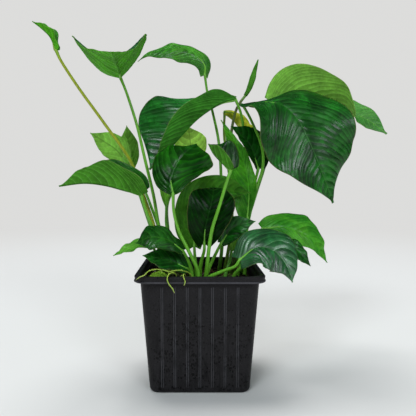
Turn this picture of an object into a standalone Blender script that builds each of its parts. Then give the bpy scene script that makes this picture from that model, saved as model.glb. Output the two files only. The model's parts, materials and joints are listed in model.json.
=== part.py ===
"""Potted anubias: a square nursery pot, soil, creeping rootstock, moss, air roots and leaves.

Metres, +Z up. The origin is the centre of the pot's underside and the front faces -Y.
The tables give places in millimetres from that origin.
"""

import math
import random
from collections import namedtuple

import bmesh
import bpy
from mathutils import Matrix, Quaternion, Vector, noise

MM = 0.001
GAP = 0.3 * MM

# The pot: half widths across the flats, heights from the underside.
POT_HEIGHT = 100 * MM
LIP_HALF = 55 * MM
BODY_TOP_HALF = 50.2 * MM
BODY_TOP_HEIGHT = 93.5 * MM
FOOT_HALF = 42.7 * MM
FOOT_HEIGHT = 3 * MM
FOOT_ROUND = 3 * MM
WALL = 1.2 * MM
FLOOR = 2 * MM
CORNER_RADIUS = 11 * MM
CORNER_TAPER = 0.4
CORNER_STEPS = 4
RIBS_A_SIDE = 7
RIB_PITCH = 10.45 * MM
RIB_WIDTH = 2.4 * MM
RIB_DEPTH = 0.5 * MM
RIB_SINK = 0.5 * MM
RIB_DRAFT = 0.3 * MM
RIB_ENDS = (5 * MM, 91 * MM)
# The rolled lip in section, from the body out, over the roll and back in: in from the lip's half
# width and down from the top, in millimetres.
LIP_SECTION = ((3.4, 4.0), (3.1, 1.4), (1.4, 1.4), (1.4, 5.2), (0.6, 5.8), (-0.3, 5.2), (-0.2, 4.2),
               (0.4, 3.6), (0, 0.9), (0.9, 0), (3.7, 0), (4.5, 0.7), (4.7, 4.2))
DRAIN_RADIUS = 4 * MM
DRAIN_SIDES = 12
DRAIN_SPOTS = ((26, 26), (26, 0), (26, -26), (0, 26), (0, -26), (-26, 26), (-26, 0), (-26, -26))

# The soil and what stands in it.
SOIL_HEIGHT = 88.5 * MM
SOIL_LUMP = 1.6 * MM
SOIL_LUMP_SPACING = 9 * MM
SOIL_BANK = 8 * MM
SOIL_SHOULDER = 1.5 * MM
SOIL_PLAY = 0.2 * MM
SOIL_RINGS = 6
FOOT_DEPTH = 3.5 * MM
ROOTSTOCK_RADIUS = 6 * MM
ROOTSTOCK = ((-39, 31, 82), (-30, 22, 84), (-20, 10, 84), (-8, -4, 84), (2, -16, 84), (12, -12, 84),
             (22, 1, 84), (31, 12, 84), (38, 24, 83))
ROOTSTOCK_RINGS = 20
ROOTSTOCK_END = 0.55
SCAR_SPACING = 8.5 * MM
SCAR_SWELL = 0.12
MOSS_CENTRE = (-35, -36, 90)
MOSS_RADII = (9.5, 7, 11)
MOSS_TUFT = (-0.10, 0.16)
MOSS_SEED = 4
ROOT_RADIUS = 0.65 * MM
ROOT_TAPER = 0.35
AIR_ROOTS = {
    "air_root_long": ((-5, -26, 87), (-6, -28, 93), (-9, -32, 99), (-14, -38, 102), (-19, -40, 103),
                      (-25, -43, 102.5), (-31, -45, 104), (-37, -47, 105), (-42, -52, 104.5),
                      (-45, -56, 102), (-49, -56.9, 100.4), (-52, -56.6, 98)),
    "air_root_middle": ((-20, -37, 86), (-19.5, -43, 97), (-21, -48, 102), (-25, -53, 102.5),
                        (-26.5, -56.8, 99), (-25, -57.3, 95), (-22, -57.2, 91), (-20.5, -57, 87.5)),
    "air_root_short": ((-11, -36, 86), (-11.5, -43, 97), (-13, -50, 101.6), (-13.5, -56, 101),
                       (-12, -57.4, 97), (-13, -57, 93.5)),
}

# The leaves. A petiole rises from its foot in the soil, thinning towards the blade.
PETIOLE_SIDES = 6
HOLE_SIDES = 8
PETIOLE_FOOT_RADIUS = 1.8 * MM
PETIOLE_TOP_RADIUS = 1.25 * MM
PETIOLE_STEP = 17 * MM
PETIOLE_RISE = 3 * MM
PETIOLE_TAIL = (0.75, 0.4)
LONG_PETIOLE = 60 * MM
JOINT_SWELL = 1.25
BLADE_EDGE = 0.7 * MM
BLADE_RIB = 1.8 * MM
TIP_SHARE = 0.03
TIP_POWER = 1.15
SPEAR_TAPER = 0.25
CURL_STEPS = 8
SIDE_SWEEP = 0.28
LOBE_SWEEP = 0.55
CURVE_STEPS = 12

DARK = (0.020, 0.085, 0.022)
MID = (0.045, 0.190, 0.030)
OLIVE = (0.075, 0.175, 0.035)
BRIGHT = (0.120, 0.370, 0.040)
BACKLIT = (0.190, 0.430, 0.050)
YELLOW = (0.430, 0.500, 0.030)

# face: where the upper side looks, at the base, at even steps on and at the tip. half: half widths
# left and right, left being the viewer's left with the tip up and the upper side in view. fold and
# curl: degrees that each half rises from the flat and bends on towards its edge. ease: how far the
# fold has opened at the tip. base: the width at the base as a share. widest: where along the blade.
# wave: height in mm, number of waves. grid: rows along and columns on each half.
Leaf = namedtuple("Leaf", "name tint foot stem rib face half fold curl ease base widest wave grid")
Leaf.__new__.__defaults__ = ((10, 10), (0, 0), 0.2, 0.3, 0.38, (1.3, 3), (7, 2))

LEAVES = (
    Leaf("leaf_far_left_furled", BRIGHT, (-33, 17),
         ((-39, 20, 115), (-46, 25, 139), (-55, 27, 164), (-68, 24, 199), (-92, 14, 235), (-112, 4, 264),
          (-127, -3, 288)),
         ((-132, -5, 299), (-137, -5, 311), (-145, -5, 319), (-154, -4, 326)),
         ((0.7, -0.1, 0.4), (0.5, -0.1, 0.8)), (6, 7), (68, 70), (12, 12)),
    Leaf("leaf_upper_left", BRIGHT, (-29, 23),
         ((-33, 24, 115), (-40, 24, 136), (-45, 23, 165), (-53, 22, 199), (-61, 22, 233), (-71, 24, 264)),
         ((-78, 27, 281), (-77, 10, 285), (-76, -14, 287), (-73, -46, 286)),
         ((0.0, 0.0, 1.0), (0.0, 0.0, 1.0)), (44, 53), (59, 20), (12, 48), 0.85, 0.9, 0.10, (2.2, 2),
         (9, 3)),
    Leaf("leaf_top_arched", MID, (20, 30),
         ((23, 34, 120), (23, 44, 160), (21, 56, 215), (15, 69, 251), (9, 71, 274)),
         ((6, 67, 293), (6, 66, 303), (-2, 65, 312), (-16, 62, 318), (-36, 57, 318), (-54, 56, 313),
          (-65, 57, 305)),
         ((0.3, -0.8, 0.4), (-0.2, -0.6, 0.75)), (13, 15), (-20, -20), (-10, -10), 0.0, 0.32, 0.42, (2.0, 3),
         (9, 2)),
    Leaf("leaf_centre_left_broad", DARK, (31, 20),
         ((38, 25, 112), (44, 31, 140), (49, 37, 170), (48, 44, 201), (46, 47, 228), (43, 47, 248)),
         ((37, 45, 263), (19, 40, 257), (-1, 32, 242), (-18, 30, 224), (-34, 29, 206), (-49, 26, 190)),
         ((0.0, -0.3, 0.95), (-0.1, -0.95, 0.3), (-0.1, -1.0, 0.1)), (23, 54), (108, 4), (45, -16),
         0.15, 0.22, 0.49, (2.6, 3), (11, 3)),
    Leaf("leaf_centre_cupped", DARK, (-1, -20),
         ((-2, -20, 100), (-10, -20, 117), (-18, -18, 133), (-23, -15, 150)),
         ((-24, -13, 167), (-26, -11, 180), (-22, -7, 192), (-13, -3, 205), (-3, 4, 214)),
         ((0.0, -0.7, 0.7), (-0.1, -0.7, 0.7)), (26, 36), (-5, 8), (-26, 25), 0.0, 0.05, 0.52, (2.4, 3),
         (8, 3)),
    Leaf("leaf_broad_right", DARK, (40, 19),
         ((47, 22, 136), (55, 28, 168), (63, 31, 192), (62, 33, 214), (52, 35, 240)),
         ((43, 34, 256), (62, 26, 257), (80, 16, 252), (95, 8, 234), (105, 3, 211), (115, 2, 185),
          (126, 6, 158)),
         ((0.1, -0.1, 1.0), (0.1, -1.0, 0.0), (0.5, -0.85, 0.1)), (50, 45), (4, 0), (-14, -12),
         0.2, 0.10, 0.40, (3.0, 4), (11, 3)),
    Leaf("leaf_far_right_twisted", BACKLIT, (34, 32),
         ((48, 42, 135), (60, 50, 170), (68, 55, 193), (76, 60, 222)),
         ((84, 62, 256), (107, 64, 261), (134, 65, 258), (158, 62, 252), (176, 56, 244), (194, 49, 228)),
         ((0.0, 0.3, 0.9), (0.2, -1.0, 0.25)), (41, 41), (15, 84), (10, 10), 1.15, 0.45, 0.22, (2.4, 3),
         (11, 3)),
    Leaf("leaf_left_folded", MID, (-30, 3),
         ((-34, 5, 110), (-41, 8, 125), (-46, 9, 138), (-51, 9, 151)),
         ((-55, 8, 166), (-69, 4, 170), (-87, 0, 175), (-107, -2, 177), (-130, -2, 174)),
         ((0.0, -0.75, 0.7), (0.0, 0.1, 1.0), (0.0, 0.1, 1.0)), (23, 26), (78, 60), (12, 15),
         0.0, 0.35, 0.27, (2.0, 3), (9, 3)),
    Leaf("leaf_small_folded", MID, (5, -23),
         ((6, -26, 100), (8, -29, 120), (11, -31, 138), (17, -32, 157), (23, -30, 177)),
         ((27, -28, 188), (20, -25, 194), (12, -21, 203), (8, -14, 212)),
         ((-0.2, -0.8, 0.5), (-0.2, -0.8, 0.5)), (12, 20), (115, 5), (15, 5), 0.0, 0.3, 0.35, (1.2, 2)),
    Leaf("leaf_centre_dark", DARK, (0, -13),
         ((1, -15, 104), (4, -20, 117)),
         ((4, -21, 123), (5, -25, 138), (9, -24, 154), (12, -16, 167), (12, -5, 173)),
         ((0.0, -0.95, 0.2), (0.0, -0.2, 0.9)), (21, 22), (14, 14), (10, 10), 0.0, 0.25, 0.50, (1.0, 3),
         (8, 3)),
    Leaf("leaf_centre_backlit", BACKLIT, (-24, 33),
         ((-28, 38, 112), (-32, 44, 130), (-33, 49, 155), (-24, 55, 175)),
         ((-10, 60, 193), (-9, 64, 212), (-10, 66, 225), (-12, 66, 238)),
         ((0.0, 0.9, 0.1), (0.0, 1.0, 0.1)), (18, 18), (10, 10), (10, 10), 0.0, 0.3, 0.55, (1.0, 2)),
    Leaf("leaf_olive_centre", OLIVE, (-3, -3),
         ((-4, -2, 104),),
         ((-5, -1, 118), (-5, 3, 138), (4, 7, 158), (23, 8, 169), (48, 4, 168)),
         ((0.0, -0.95, 0.2), (0.1, -0.9, 0.3)), (23, 18), (8, 8), (5, 5), 0.0, 0.3, 0.40, (1.8, 3), (9, 3)),
    Leaf("leaf_hanging_green", BRIGHT, (43, 11),
         ((45, 12, 122),),
         ((46, 14, 144), (48, 19, 170), (44, 27, 195), (35, 31, 218), (22, 38, 241)),
         ((0.0, -0.9, 0.1), (0.5, -0.8, 0.2)), (22, 8), (15, 15), (10, 10), 0.0, 0.3, 0.35, (1.8, 3),
         (9, 2)),
    Leaf("leaf_lower_dark", DARK, (6, -6),
         ((11, -5, 104),),
         ((20, -5, 122), (29, -5, 134), (39, -6, 139), (51, -8, 142)),
         ((0.1, -0.9, 0.4), (0.1, -0.9, 0.4)), (10, 11), (10, 10)),
    Leaf("leaf_dark_folded", DARK, (39, 26),
         ((46, 30, 125), (53, 38, 162)),
         ((60, 41, 192), (54, 42, 210), (45, 41, 223), (32, 40, 235)),
         ((0.2, -0.9, 0.2), (0.3, -0.9, 0.2)), (8, 19), (20, 12), (10, -10)),
    Leaf("leaf_yellowing", YELLOW, (25, 26),
         ((32, 36, 130), (34, 52, 180), (27, 64, 223)),
         ((27, 64, 253), (38, 61, 251), (49, 57, 240), (64, 50, 226)),
         ((0.1, -0.7, 0.6), (0.2, -0.7, 0.6)), (8, 9), (-20, -20)),
    Leaf("leaf_left_backlit_low", BACKLIT, (-37, 29),
         ((-41, 34, 112), (-50, 40, 134), (-64, 52, 170)),
         ((-76, 56, 197), (-86, 56, 211), (-100, 54, 221), (-113, 50, 229)),
         ((0.0, 0.9, 0.2), (0.0, 0.9, 0.3)), (14, 14), (10, 10)),
    Leaf("leaf_left_backlit_high", BACKLIT, (-30, 36),
         ((-35, 41, 112), (-43, 48, 134), (-58, 60, 170)),
         ((-72, 68, 195), (-76, 70, 213), (-77, 70, 226), (-78, 68, 239)),
         ((0.0, 0.9, 0.1), (0.0, 0.9, 0.1)), (11, 11), (10, 10)),
    Leaf("leaf_lower_left_glossy", MID, (-6, -14),
         ((-9, -14, 104),),
         ((-15, -14, 116), (-28, -18, 126), (-43, -20, 129), (-57, -18, 123)),
         ((0.1, -0.6, 0.8), (-0.1, -0.6, 0.8)), (12, 15), (-15, 5), (-20, -10), 0.2, 0.3, 0.62, (1.6, 3)),
    Leaf("leaf_left_thin_tip", MID, (-36, 12),
         ((-40, 11, 104),),
         ((-44, 11, 116), (-53, 10, 119), (-65, 7, 116), (-81, 3, 109)),
         ((0.0, -0.4, 0.9), (0.0, -0.4, 0.9)), (8, 8), (10, 10)),
    Leaf("leaf_low_dark", DARK, (-8, -7),
         (),
         ((-11, -9, 99), (-23, -11, 105), (-37, -11, 109), (-52, -9, 111)),
         ((0.0, -0.6, 0.8), (0.0, -0.6, 0.8)), (13, 14), (10, 10)),
    Leaf("leaf_lower_right_glossy", DARK, (7, -29),
         ((9, -32, 96), (21, -36, 102), (30, -38, 106)),
         ((34, -38, 112), (48, -38, 122), (63, -40, 119), (73, -43, 107), (77, -46, 94)),
         ((-0.1, -0.7, 0.7), (0.3, -0.9, 0.3)), (21, 19), (5, 5), (-15, -15), 0.2, 0.4, 0.42, (2.0, 3),
         (8, 3)),
    Leaf("leaf_right_bright", BRIGHT, (36, 7),
         ((42, 8, 104), (50, 8, 118)),
         ((59, 6, 134), (76, 2, 136), (91, 0, 132), (106, 1, 123), (120, 4, 102)),
         ((0.0, -0.7, 0.7), (0.4, -0.7, 0.6)), (21, 11), (5, -20), (-10, -10), 0.2, 0.35, 0.40, (1.8, 3),
         (8, 2)),
    Leaf("leaf_right_small_dark", DARK, (32, -3),
         ((39, -5, 99), (54, -7, 108)),
         ((72, -9, 125), (83, -12, 120), (91, -14, 113), (100, -14, 102)),
         ((0.0, -0.7, 0.7), (0.4, -0.8, 0.4)), (8, 9), (5, 5)),
    Leaf("leaf_young_right", BACKLIT, (24, -1),
         ((28, 2, 103),),
         ((30, 3, 114), (33, 3, 123), (36, 2, 131)),
         ((0.0, -0.9, 0.2), (0.0, -0.9, 0.2)), (5, 5), (30, 30), (0, 0), 0.2, 0.3, 0.5, (0.4, 2), (5, 2)),
    Leaf("leaf_young_left", BACKLIT, (-24, 27),
         ((-28, 29, 112), (-33, 33, 135)),
         ((-33, 35, 154), (-35, 37, 168), (-37, 38, 183)),
         ((0.0, -0.9, 0.2), (0.0, -0.9, 0.2)), (5, 5), (30, 30), (0, 0), 0.2, 0.3, 0.5, (0.4, 2), (5, 2)),
)

# The youngest leaf, still rolled into a spear: foot, petiole, then the roll.
SPEAR_FOOT = (31, 12)
SPEAR_STEM = ((34, 15, 108), (39, 23, 140), (41, 34, 175), (34, 46, 215), (33, 48, 228), (37, 51, 249),
              (42, 52, 260))
SPEAR_ROLL = ((48, 52, 268), (52, 52, 276), (55, 51, 285), (58, 51, 295), (61, 50, 305))
SPEAR_RADII = (1.7, 2.6, 2.8, 1.9, 0.5)


def clear_scene():
    for thing in list(bpy.data.objects):
        bpy.data.objects.remove(thing, do_unlink=True)


def new_collection(name):
    made = bpy.data.collections.new(name)
    bpy.context.scene.collection.children.link(made)
    return made


def new_material(name, colour, roughness, metallic=0.0):
    made = bpy.data.materials.new(name)
    made.use_nodes = True
    shader = made.node_tree.nodes["Principled BSDF"]
    shader.inputs["Base Color"].default_value = (*colour, 1)
    shader.inputs["Roughness"].default_value = roughness
    shader.inputs["Metallic"].default_value = metallic
    return made


def new_object(name, mesh, collection, material=None):
    made = bpy.data.objects.new(name, mesh)
    collection.objects.link(made)
    if material:
        mesh.materials.clear()
        mesh.materials.append(material)
    return made


def mesh_from(bm, name):
    mesh = bpy.data.meshes.new(name)
    bmesh.ops.recalc_face_normals(bm, faces=bm.faces)
    bm.to_mesh(mesh)
    bm.free()
    return mesh


def evaluated_mesh(source):
    graph = bpy.context.evaluated_depsgraph_get()
    graph.update()
    return bpy.data.meshes.new_from_object(source.evaluated_get(graph))


def apply_modifiers(target):
    """Replaces an object's mesh by its evaluated one."""
    mesh = evaluated_mesh(target)
    target.modifiers.clear()
    target.data = mesh


def join_or_cut(target, others, operation, cutters):
    """One Boolean with a whole collection as its operand, applied, and the operands removed."""
    for other in others:
        for owner in list(other.users_collection):
            owner.objects.unlink(other)
        cutters.objects.link(other)
        other.hide_render = True
        other.display_type = "WIRE"
    step = target.modifiers.new("boolean", "BOOLEAN")
    step.operation = operation
    step.solver = "MANIFOLD"
    step.operand_type = "COLLECTION"
    step.collection = cutters
    apply_modifiers(target)
    for other in others:
        bpy.data.objects.remove(other, do_unlink=True)


def smooth_shaded(target, angle=35):
    target.data.shade_smooth()
    target.data.set_sharp_from_angle(angle=math.radians(angle))


def vectors(points):
    return [Vector(p) * MM for p in points]


def curve_through(points, count):
    """Evenly spaced points along a smooth curve through the given ones."""
    ends = [points[0] * 2 - points[1], *points, points[-1] * 2 - points[-2]]
    fine = []
    for a, b, c, d in zip(ends, ends[1:], ends[2:], ends[3:]):
        for i in range(CURVE_STEPS):
            t = i / CURVE_STEPS
            fine.append(0.5 * (2 * b + (c - a) * t + (2 * a - 5 * b + 4 * c - d) * t * t
                               + (3 * b - a - 3 * c + d) * t ** 3))
    fine.append(points[-1].copy())
    reach = [0.0]
    for a, b in zip(fine, fine[1:]):
        reach.append(reach[-1] + (b - a).length)
    out = []
    at = 0
    for i in range(count + 1):
        want = reach[-1] * i / count
        while at < len(fine) - 2 and reach[at + 1] < want:
            at += 1
        out.append(fine[at].lerp(fine[at + 1], (want - reach[at]) / (reach[at + 1] - reach[at])))
    return out


def tube(name, points, radii, sides, collection, material=None):
    """A closed tube along the points, made as a bevelled curve and turned into a mesh."""
    curve = bpy.data.curves.new(name, "CURVE")
    curve.dimensions = "3D"
    curve.bevel_depth = MM
    curve.bevel_resolution = sides // 2 - 2
    curve.use_fill_caps = True
    spline = curve.splines.new("POLY")
    spline.points.add(len(points) - 1)
    for spot, point, radius in zip(spline.points, points, radii):
        spot.co = (*point, 1)
        spot.radius = radius / MM
    guide = new_object(name + "_guide", curve, collection)
    mesh = evaluated_mesh(guide)
    bpy.data.objects.remove(guide, do_unlink=True)
    bm = bmesh.new()
    bm.from_mesh(mesh)
    bmesh.ops.remove_doubles(bm, verts=bm.verts, dist=0.01 * MM)
    bmesh.ops.triangulate(bm, faces=bm.faces)
    return new_object(name, mesh_from(bm, name), collection, material)


def rounded_square(half, radius, height):
    """Points round a square with rounded corners."""
    points = []
    for corner in range(4):
        middle = math.radians(45 + 90 * corner)
        centre = Vector((math.cos(middle), math.sin(middle), 0)) * math.sqrt(2) * (half - radius)
        for step in range(CORNER_STEPS + 1):
            angle = math.radians(90 * corner + 90 * step / CORNER_STEPS)
            points.append(centre + Vector((math.cos(angle) * radius, math.sin(angle) * radius, height)))
    return points


def loft(rings, name):
    """A closed solid whose skin runs through rings of equally many points."""
    bm = bmesh.new()
    rows = [[bm.verts.new(point) for point in ring] for ring in rings]
    for low, high in zip(rows, rows[1:]):
        for i in range(len(low)):
            j = (i + 1) % len(low)
            bm.faces.new((low[i], low[j], high[j], high[i]))
    bm.faces.new(reversed(rows[0]))
    bm.faces.new(rows[-1])
    bmesh.ops.triangulate(bm, faces=bm.faces)
    return mesh_from(bm, name)


def corner_radius(half):
    """The pot's corners are a little tighter at the foot than at the top."""
    return CORNER_RADIUS + (half - BODY_TOP_HALF) * CORNER_TAPER


def wall_half(height):
    """Half width of the pot's outside at a height between foot and lip."""
    share = (height - FOOT_HEIGHT) / (BODY_TOP_HEIGHT - FOOT_HEIGHT)
    return FOOT_HALF + (BODY_TOP_HALF - FOOT_HALF) * share


def build_pot(parts, cutters, material):
    lip = [(LIP_HALF - inset * MM, POT_HEIGHT - drop * MM) for inset, drop in LIP_SECTION]
    profile = (
        (FOOT_HALF - FOOT_ROUND, 0),
        (FOOT_HALF - FOOT_ROUND / 3, FOOT_ROUND / 4),
        (FOOT_HALF, FOOT_HEIGHT),
        (BODY_TOP_HALF, BODY_TOP_HEIGHT),
        *lip,
        (BODY_TOP_HALF - WALL, BODY_TOP_HEIGHT),
        (FOOT_HALF - WALL, FOOT_HEIGHT + WALL),
        (FOOT_HALF - FOOT_ROUND, FLOOR),
    )
    rings = [rounded_square(half, corner_radius(half), z) for half, z in profile]
    pot = new_object("pot", loft(rings, "pot"), parts, material)
    join_or_cut(pot, pot_ribs(parts), "UNION", cutters)
    holes = []
    for x, y in DRAIN_SPOTS:
        bm = bmesh.new()
        place = Matrix.Translation((x * MM, y * MM, 0))
        bmesh.ops.create_cone(bm, cap_ends=True, segments=DRAIN_SIDES, radius1=DRAIN_RADIUS,
                              radius2=DRAIN_RADIUS, depth=4 * FLOOR, matrix=place)
        holes.append(new_object("drain", mesh_from(bm, "drain"), parts))
    join_or_cut(pot, holes, "DIFFERENCE", cutters)
    smooth_shaded(pot)


def pot_ribs(parts):
    """The upright ribs of the four walls, each a slim bar that leans with its wall."""
    ribs = []
    low, high = RIB_ENDS
    for side in range(4):
        turn = Matrix.Rotation(math.radians(90 * side), 4, "Z")
        for i in range(RIBS_A_SIDE):
            across = (i - (RIBS_A_SIDE - 1) / 2) * RIB_PITCH
            bm = bmesh.new()
            bmesh.ops.create_cube(bm, size=1)
            for vert in bm.verts:
                z = high if vert.co.z > 0 else low
                depth = RIB_DEPTH if vert.co.y < 0 else -RIB_SINK
                width = RIB_WIDTH / 2 - (RIB_DRAFT if vert.co.y < 0 else 0)
                vert.co = (across + math.copysign(width, vert.co.x), -wall_half(z) - depth, z)
            bm.transform(turn)
            ribs.append(new_object("rib", mesh_from(bm, "rib"), parts))
    return ribs


def build_soil(parts, material):
    """A block that fills the pot up to a lumpy top."""
    low = FLOOR + GAP
    knee = FOOT_HEIGHT + FLOOR
    play = WALL + GAP + SOIL_PLAY
    edge = wall_half(SOIL_HEIGHT) - play
    block = (
        (FOOT_HALF - FOOT_ROUND - SOIL_PLAY * 2, low),
        (wall_half(knee) - play, knee),
        (edge, SOIL_HEIGHT - SOIL_SHOULDER),
    )
    rings = [rounded_square(half, corner_radius(half), z) for half, z in block]
    for step in range(SOIL_RINGS):
        share = 1 - step / SOIL_RINGS
        ring = []
        for point in rounded_square(edge, corner_radius(edge), 0):
            x, y = point.x * share, point.y * share
            ring.append(Vector((x, y, soil_top(x, y, edge))))
        rings.append(ring)
    return new_object("soil", loft(rings, "soil"), parts, material)


def soil_top(x, y, edge):
    """Height of the lumpy soil, level with the wall's inside at the edge."""
    inward = min(1.0, (edge - max(abs(x), abs(y))) / SOIL_BANK)
    lump = noise.noise(Vector((x, y, 0)) / SOIL_LUMP_SPACING) * SOIL_LUMP
    return SOIL_HEIGHT + lump * max(inward, 0.2)


def build_rootstock(parts, material, grow=0.0):
    """The creeping stem with its leaf scars. grow widens it into the cutter of its bed."""
    route = vectors(ROOTSTOCK)
    count = ROOTSTOCK_RINGS
    points = curve_through(route, count)
    length = sum((b - a).length for a, b in zip(points, points[1:]))
    radii = []
    for i in range(count + 1):
        scar = math.cos(2 * math.pi * length * i / count / SCAR_SPACING)
        end = min(1.0, ROOTSTOCK_END + 3 * min(i, count - i) / count)
        radii.append(ROOTSTOCK_RADIUS * (1 + SCAR_SWELL * scar) * end + grow)
    if grow:
        points[0] += (points[0] - points[1]).normalized() * grow
        points[-1] += (points[-1] - points[-2]).normalized() * grow
    return tube("rootstock_bed" if grow else "rootstock", points, radii, 8, parts, material)


def petiole_line(foot, stem, rib):
    """Points along a petiole from its foot to the blade, then a little way up the blade's rib."""
    start = Vector((foot[0] * MM, foot[1] * MM, SOIL_HEIGHT - FOOT_DEPTH))
    above = Vector((foot[0] * MM, foot[1] * MM, SOIL_HEIGHT + PETIOLE_RISE))
    route = [start, above, *vectors(stem), rib[0]]
    length = sum((b - a).length for a, b in zip(route, route[1:]))
    count = max(3, round(length / PETIOLE_STEP))
    points = curve_through(route, count)
    points[0] = start
    return points, length


def petiole(name, foot, stem, rib, parts, material, grow=0.0):
    """A petiole's tube. grow widens it into the cutter of its hole."""
    points, length = petiole_line(foot, stem, rib)
    count = len(points) - 1
    radii = []
    for i in range(count + 1):
        radii.append(PETIOLE_FOOT_RADIUS + (PETIOLE_TOP_RADIUS - PETIOLE_FOOT_RADIUS) * i / count + grow)
    if grow:
        back = (points[0] - points[1]).normalized() * 4 * grow
        points = [points[0] + back, *points[1:3]]
        width = (PETIOLE_FOOT_RADIUS + grow) / math.cos(math.pi / HOLE_SIDES)
        return tube(name, points, [width] * 3, HOLE_SIDES, parts)
    if length > LONG_PETIOLE:
        radii[-1] *= JOINT_SWELL
    points = points + rib[1:3]
    radii = radii + [PETIOLE_TOP_RADIUS * share for share in PETIOLE_TAIL]
    return tube(name, points, radii, PETIOLE_SIDES, parts, material)


def frames_along(points, faces):
    """Direction, left and upper side at each point. The upper side is carried along the rib, and
    turned smoothly from each face to the next, the faces standing at even steps along it."""
    ahead = []
    for i in range(len(points)):
        a = points[max(i - 1, 0)]
        b = points[min(i + 1, len(points) - 1)]
        ahead.append((b - a).normalized())
    up = Vector(faces[0])
    up = (up - ahead[0] * up.dot(ahead[0])).normalized()
    ups = [up]
    for a, b in zip(ahead, ahead[1:]):
        up = a.rotation_difference(b) @ up
        ups.append((up - b * up.dot(b)).normalized())
    last = len(points) - 1
    spans = len(faces) - 1
    turns = []
    for k, face in enumerate(faces):
        at = round(k * last / spans)
        goal = Vector(face)
        goal = (goal - ahead[at] * goal.dot(ahead[at])).normalized()
        turns.append(math.atan2(ups[at].cross(goal).dot(ahead[at]), ups[at].dot(goal)))
    out = []
    for i, (t, u) in enumerate(zip(ahead, ups)):
        k = min(i * spans // last, spans - 1)
        share = i * spans / last - k
        share = share * share * (3 - 2 * share)
        u = Quaternion(t, turns[k] + (turns[k + 1] - turns[k]) * share) @ u
        out.append((t, u.cross(t), u))
    return out


def width_share(s, base, widest):
    """Half width of an ovate blade as a share of its greatest, s running from base to tip."""
    if s < widest:
        return base + (1 - base) * math.sin(math.pi / 2 * s / widest)
    rest = max(0.0, 1 - (s - widest) / (1 - widest))
    return max(TIP_SHARE, math.sin(math.pi / 2 * rest) ** TIP_POWER)


def blade_point(leaf, centre, frame, s, q, phase):
    """The point of the blade beside the rib point, q running from -1 at the right edge to 1."""
    ahead, left, up = frame
    side = 0 if q > 0 else 1
    reach = abs(q)
    width = leaf.half[side] * MM * width_share(s, leaf.base, leaf.widest)
    opening = 1 - leaf.ease * s
    start = math.radians(leaf.fold[side]) * opening
    bend = math.radians(leaf.curl[side]) * opening
    across = 0.0
    rise = 0.0
    for i in range(CURL_STEPS):
        angle = start + bend * reach * (i + 0.5) / CURL_STEPS
        across += math.cos(angle) * reach / CURL_STEPS
        rise += math.sin(angle) * reach / CURL_STEPS
    height, count = leaf.wave
    ripple = math.sin(2 * math.pi * count * s + phase + side) * height * MM * reach ** 2 * (1 - s * s)
    sweep = (SIDE_SWEEP * math.sin(math.pi * s) - LOBE_SWEEP * (1 - s) ** 5) * width * reach
    return centre + left * math.copysign(across * width, q) + up * (rise * width + ripple) + ahead * sweep


def blade(leaf, rib, parts, phase):
    """The blade as a folded sheet, thickened, with its rib standing out below."""
    rows, columns = leaf.grid
    frames = frames_along(rib, leaf.face)
    bm = bmesh.new()
    lines = []
    for i, (centre, frame) in enumerate(zip(rib, frames)):
        line = []
        for k in range(-columns, columns + 1):
            point = blade_point(leaf, centre, frame, i / rows, -k / columns, phase)
            line.append(bm.verts.new(point))
        lines.append(line)
    for low, high in zip(lines, lines[1:]):
        for k in range(2 * columns):
            bm.faces.new((low[k], low[k + 1], high[k + 1], high[k]))
    bmesh.ops.triangulate(bm, faces=bm.faces)
    mesh = bpy.data.meshes.new(leaf.name)
    bm.to_mesh(mesh)
    bm.free()
    sheet = new_object(leaf.name, mesh, parts)
    thick = sheet.vertex_groups.new(name="thick")
    for i in range(rows + 1):
        for k in range(2 * columns + 1):
            share = 1.0 if k == columns and i < rows else BLADE_EDGE / BLADE_RIB
            thick.add([i * (2 * columns + 1) + k], share, "REPLACE")
    shell = sheet.modifiers.new("thickness", "SOLIDIFY")
    shell.thickness = BLADE_RIB
    shell.offset = -1
    shell.vertex_group = "thick"
    apply_modifiers(sheet)
    return sheet


def build_leaf(leaf, parts, cutters, material, phase):
    """One grown piece: the blade with its petiole. Returns the cutter of the petiole's hole."""
    rib = curve_through(vectors(leaf.rib), leaf.grid[0])
    made = blade(leaf, rib, parts, phase)
    made.data.materials.clear()
    made.data.materials.append(material)
    stalk = petiole("petiole", leaf.foot, leaf.stem, rib, parts, material)
    join_or_cut(made, [stalk], "UNION", cutters)
    smooth_shaded(made, 50)
    return petiole("hole", leaf.foot, leaf.stem, rib, parts, None, GAP)


def build_spear(parts, material):
    roll = vectors(SPEAR_ROLL)
    points, _ = petiole_line(SPEAR_FOOT, SPEAR_STEM, roll)
    radii = [PETIOLE_FOOT_RADIUS * (1 - SPEAR_TAPER * i / len(points)) for i in range(len(points))]
    points = points[:-1] + roll
    radii = radii[:-1] + [r * MM for r in SPEAR_RADII]
    made = tube("leaf_spear", points, radii, 8, parts, material)
    smooth_shaded(made, 50)
    return petiole("hole", SPEAR_FOOT, SPEAR_STEM, roll, parts, None, GAP)


def build_moss(parts, material, grow=0.0):
    """A clump of moss: a mound whose skin is broken into seeded tufts."""
    bm = bmesh.new()
    bmesh.ops.create_icosphere(bm, subdivisions=3, radius=1)
    dice = random.Random(MOSS_SEED)
    centre = Vector(MOSS_CENTRE) * MM
    for vert in bm.verts:
        tuft = 1 + dice.uniform(*MOSS_TUFT)
        place = Vector([vert.co[i] * MOSS_RADII[i] * tuft for i in range(3)]) * MM
        vert.co = centre + place + vert.co * 2 * grow
    bmesh.ops.triangulate(bm, faces=bm.faces)
    return new_object("moss_bed" if grow else "moss", mesh_from(bm, "moss"), parts, material)


def build_air_roots(parts, material, grow=0.0):
    made = []
    for name, route in AIR_ROOTS.items():
        count = 2 * len(route)
        points = curve_through(vectors(route), count)
        radii = [ROOT_RADIUS * (1 - ROOT_TAPER * i / count) + grow for i in range(count + 1)]
        made.append(tube(name + "_bed" if grow else name, points, radii, 6, parts, material))
    return made


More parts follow.
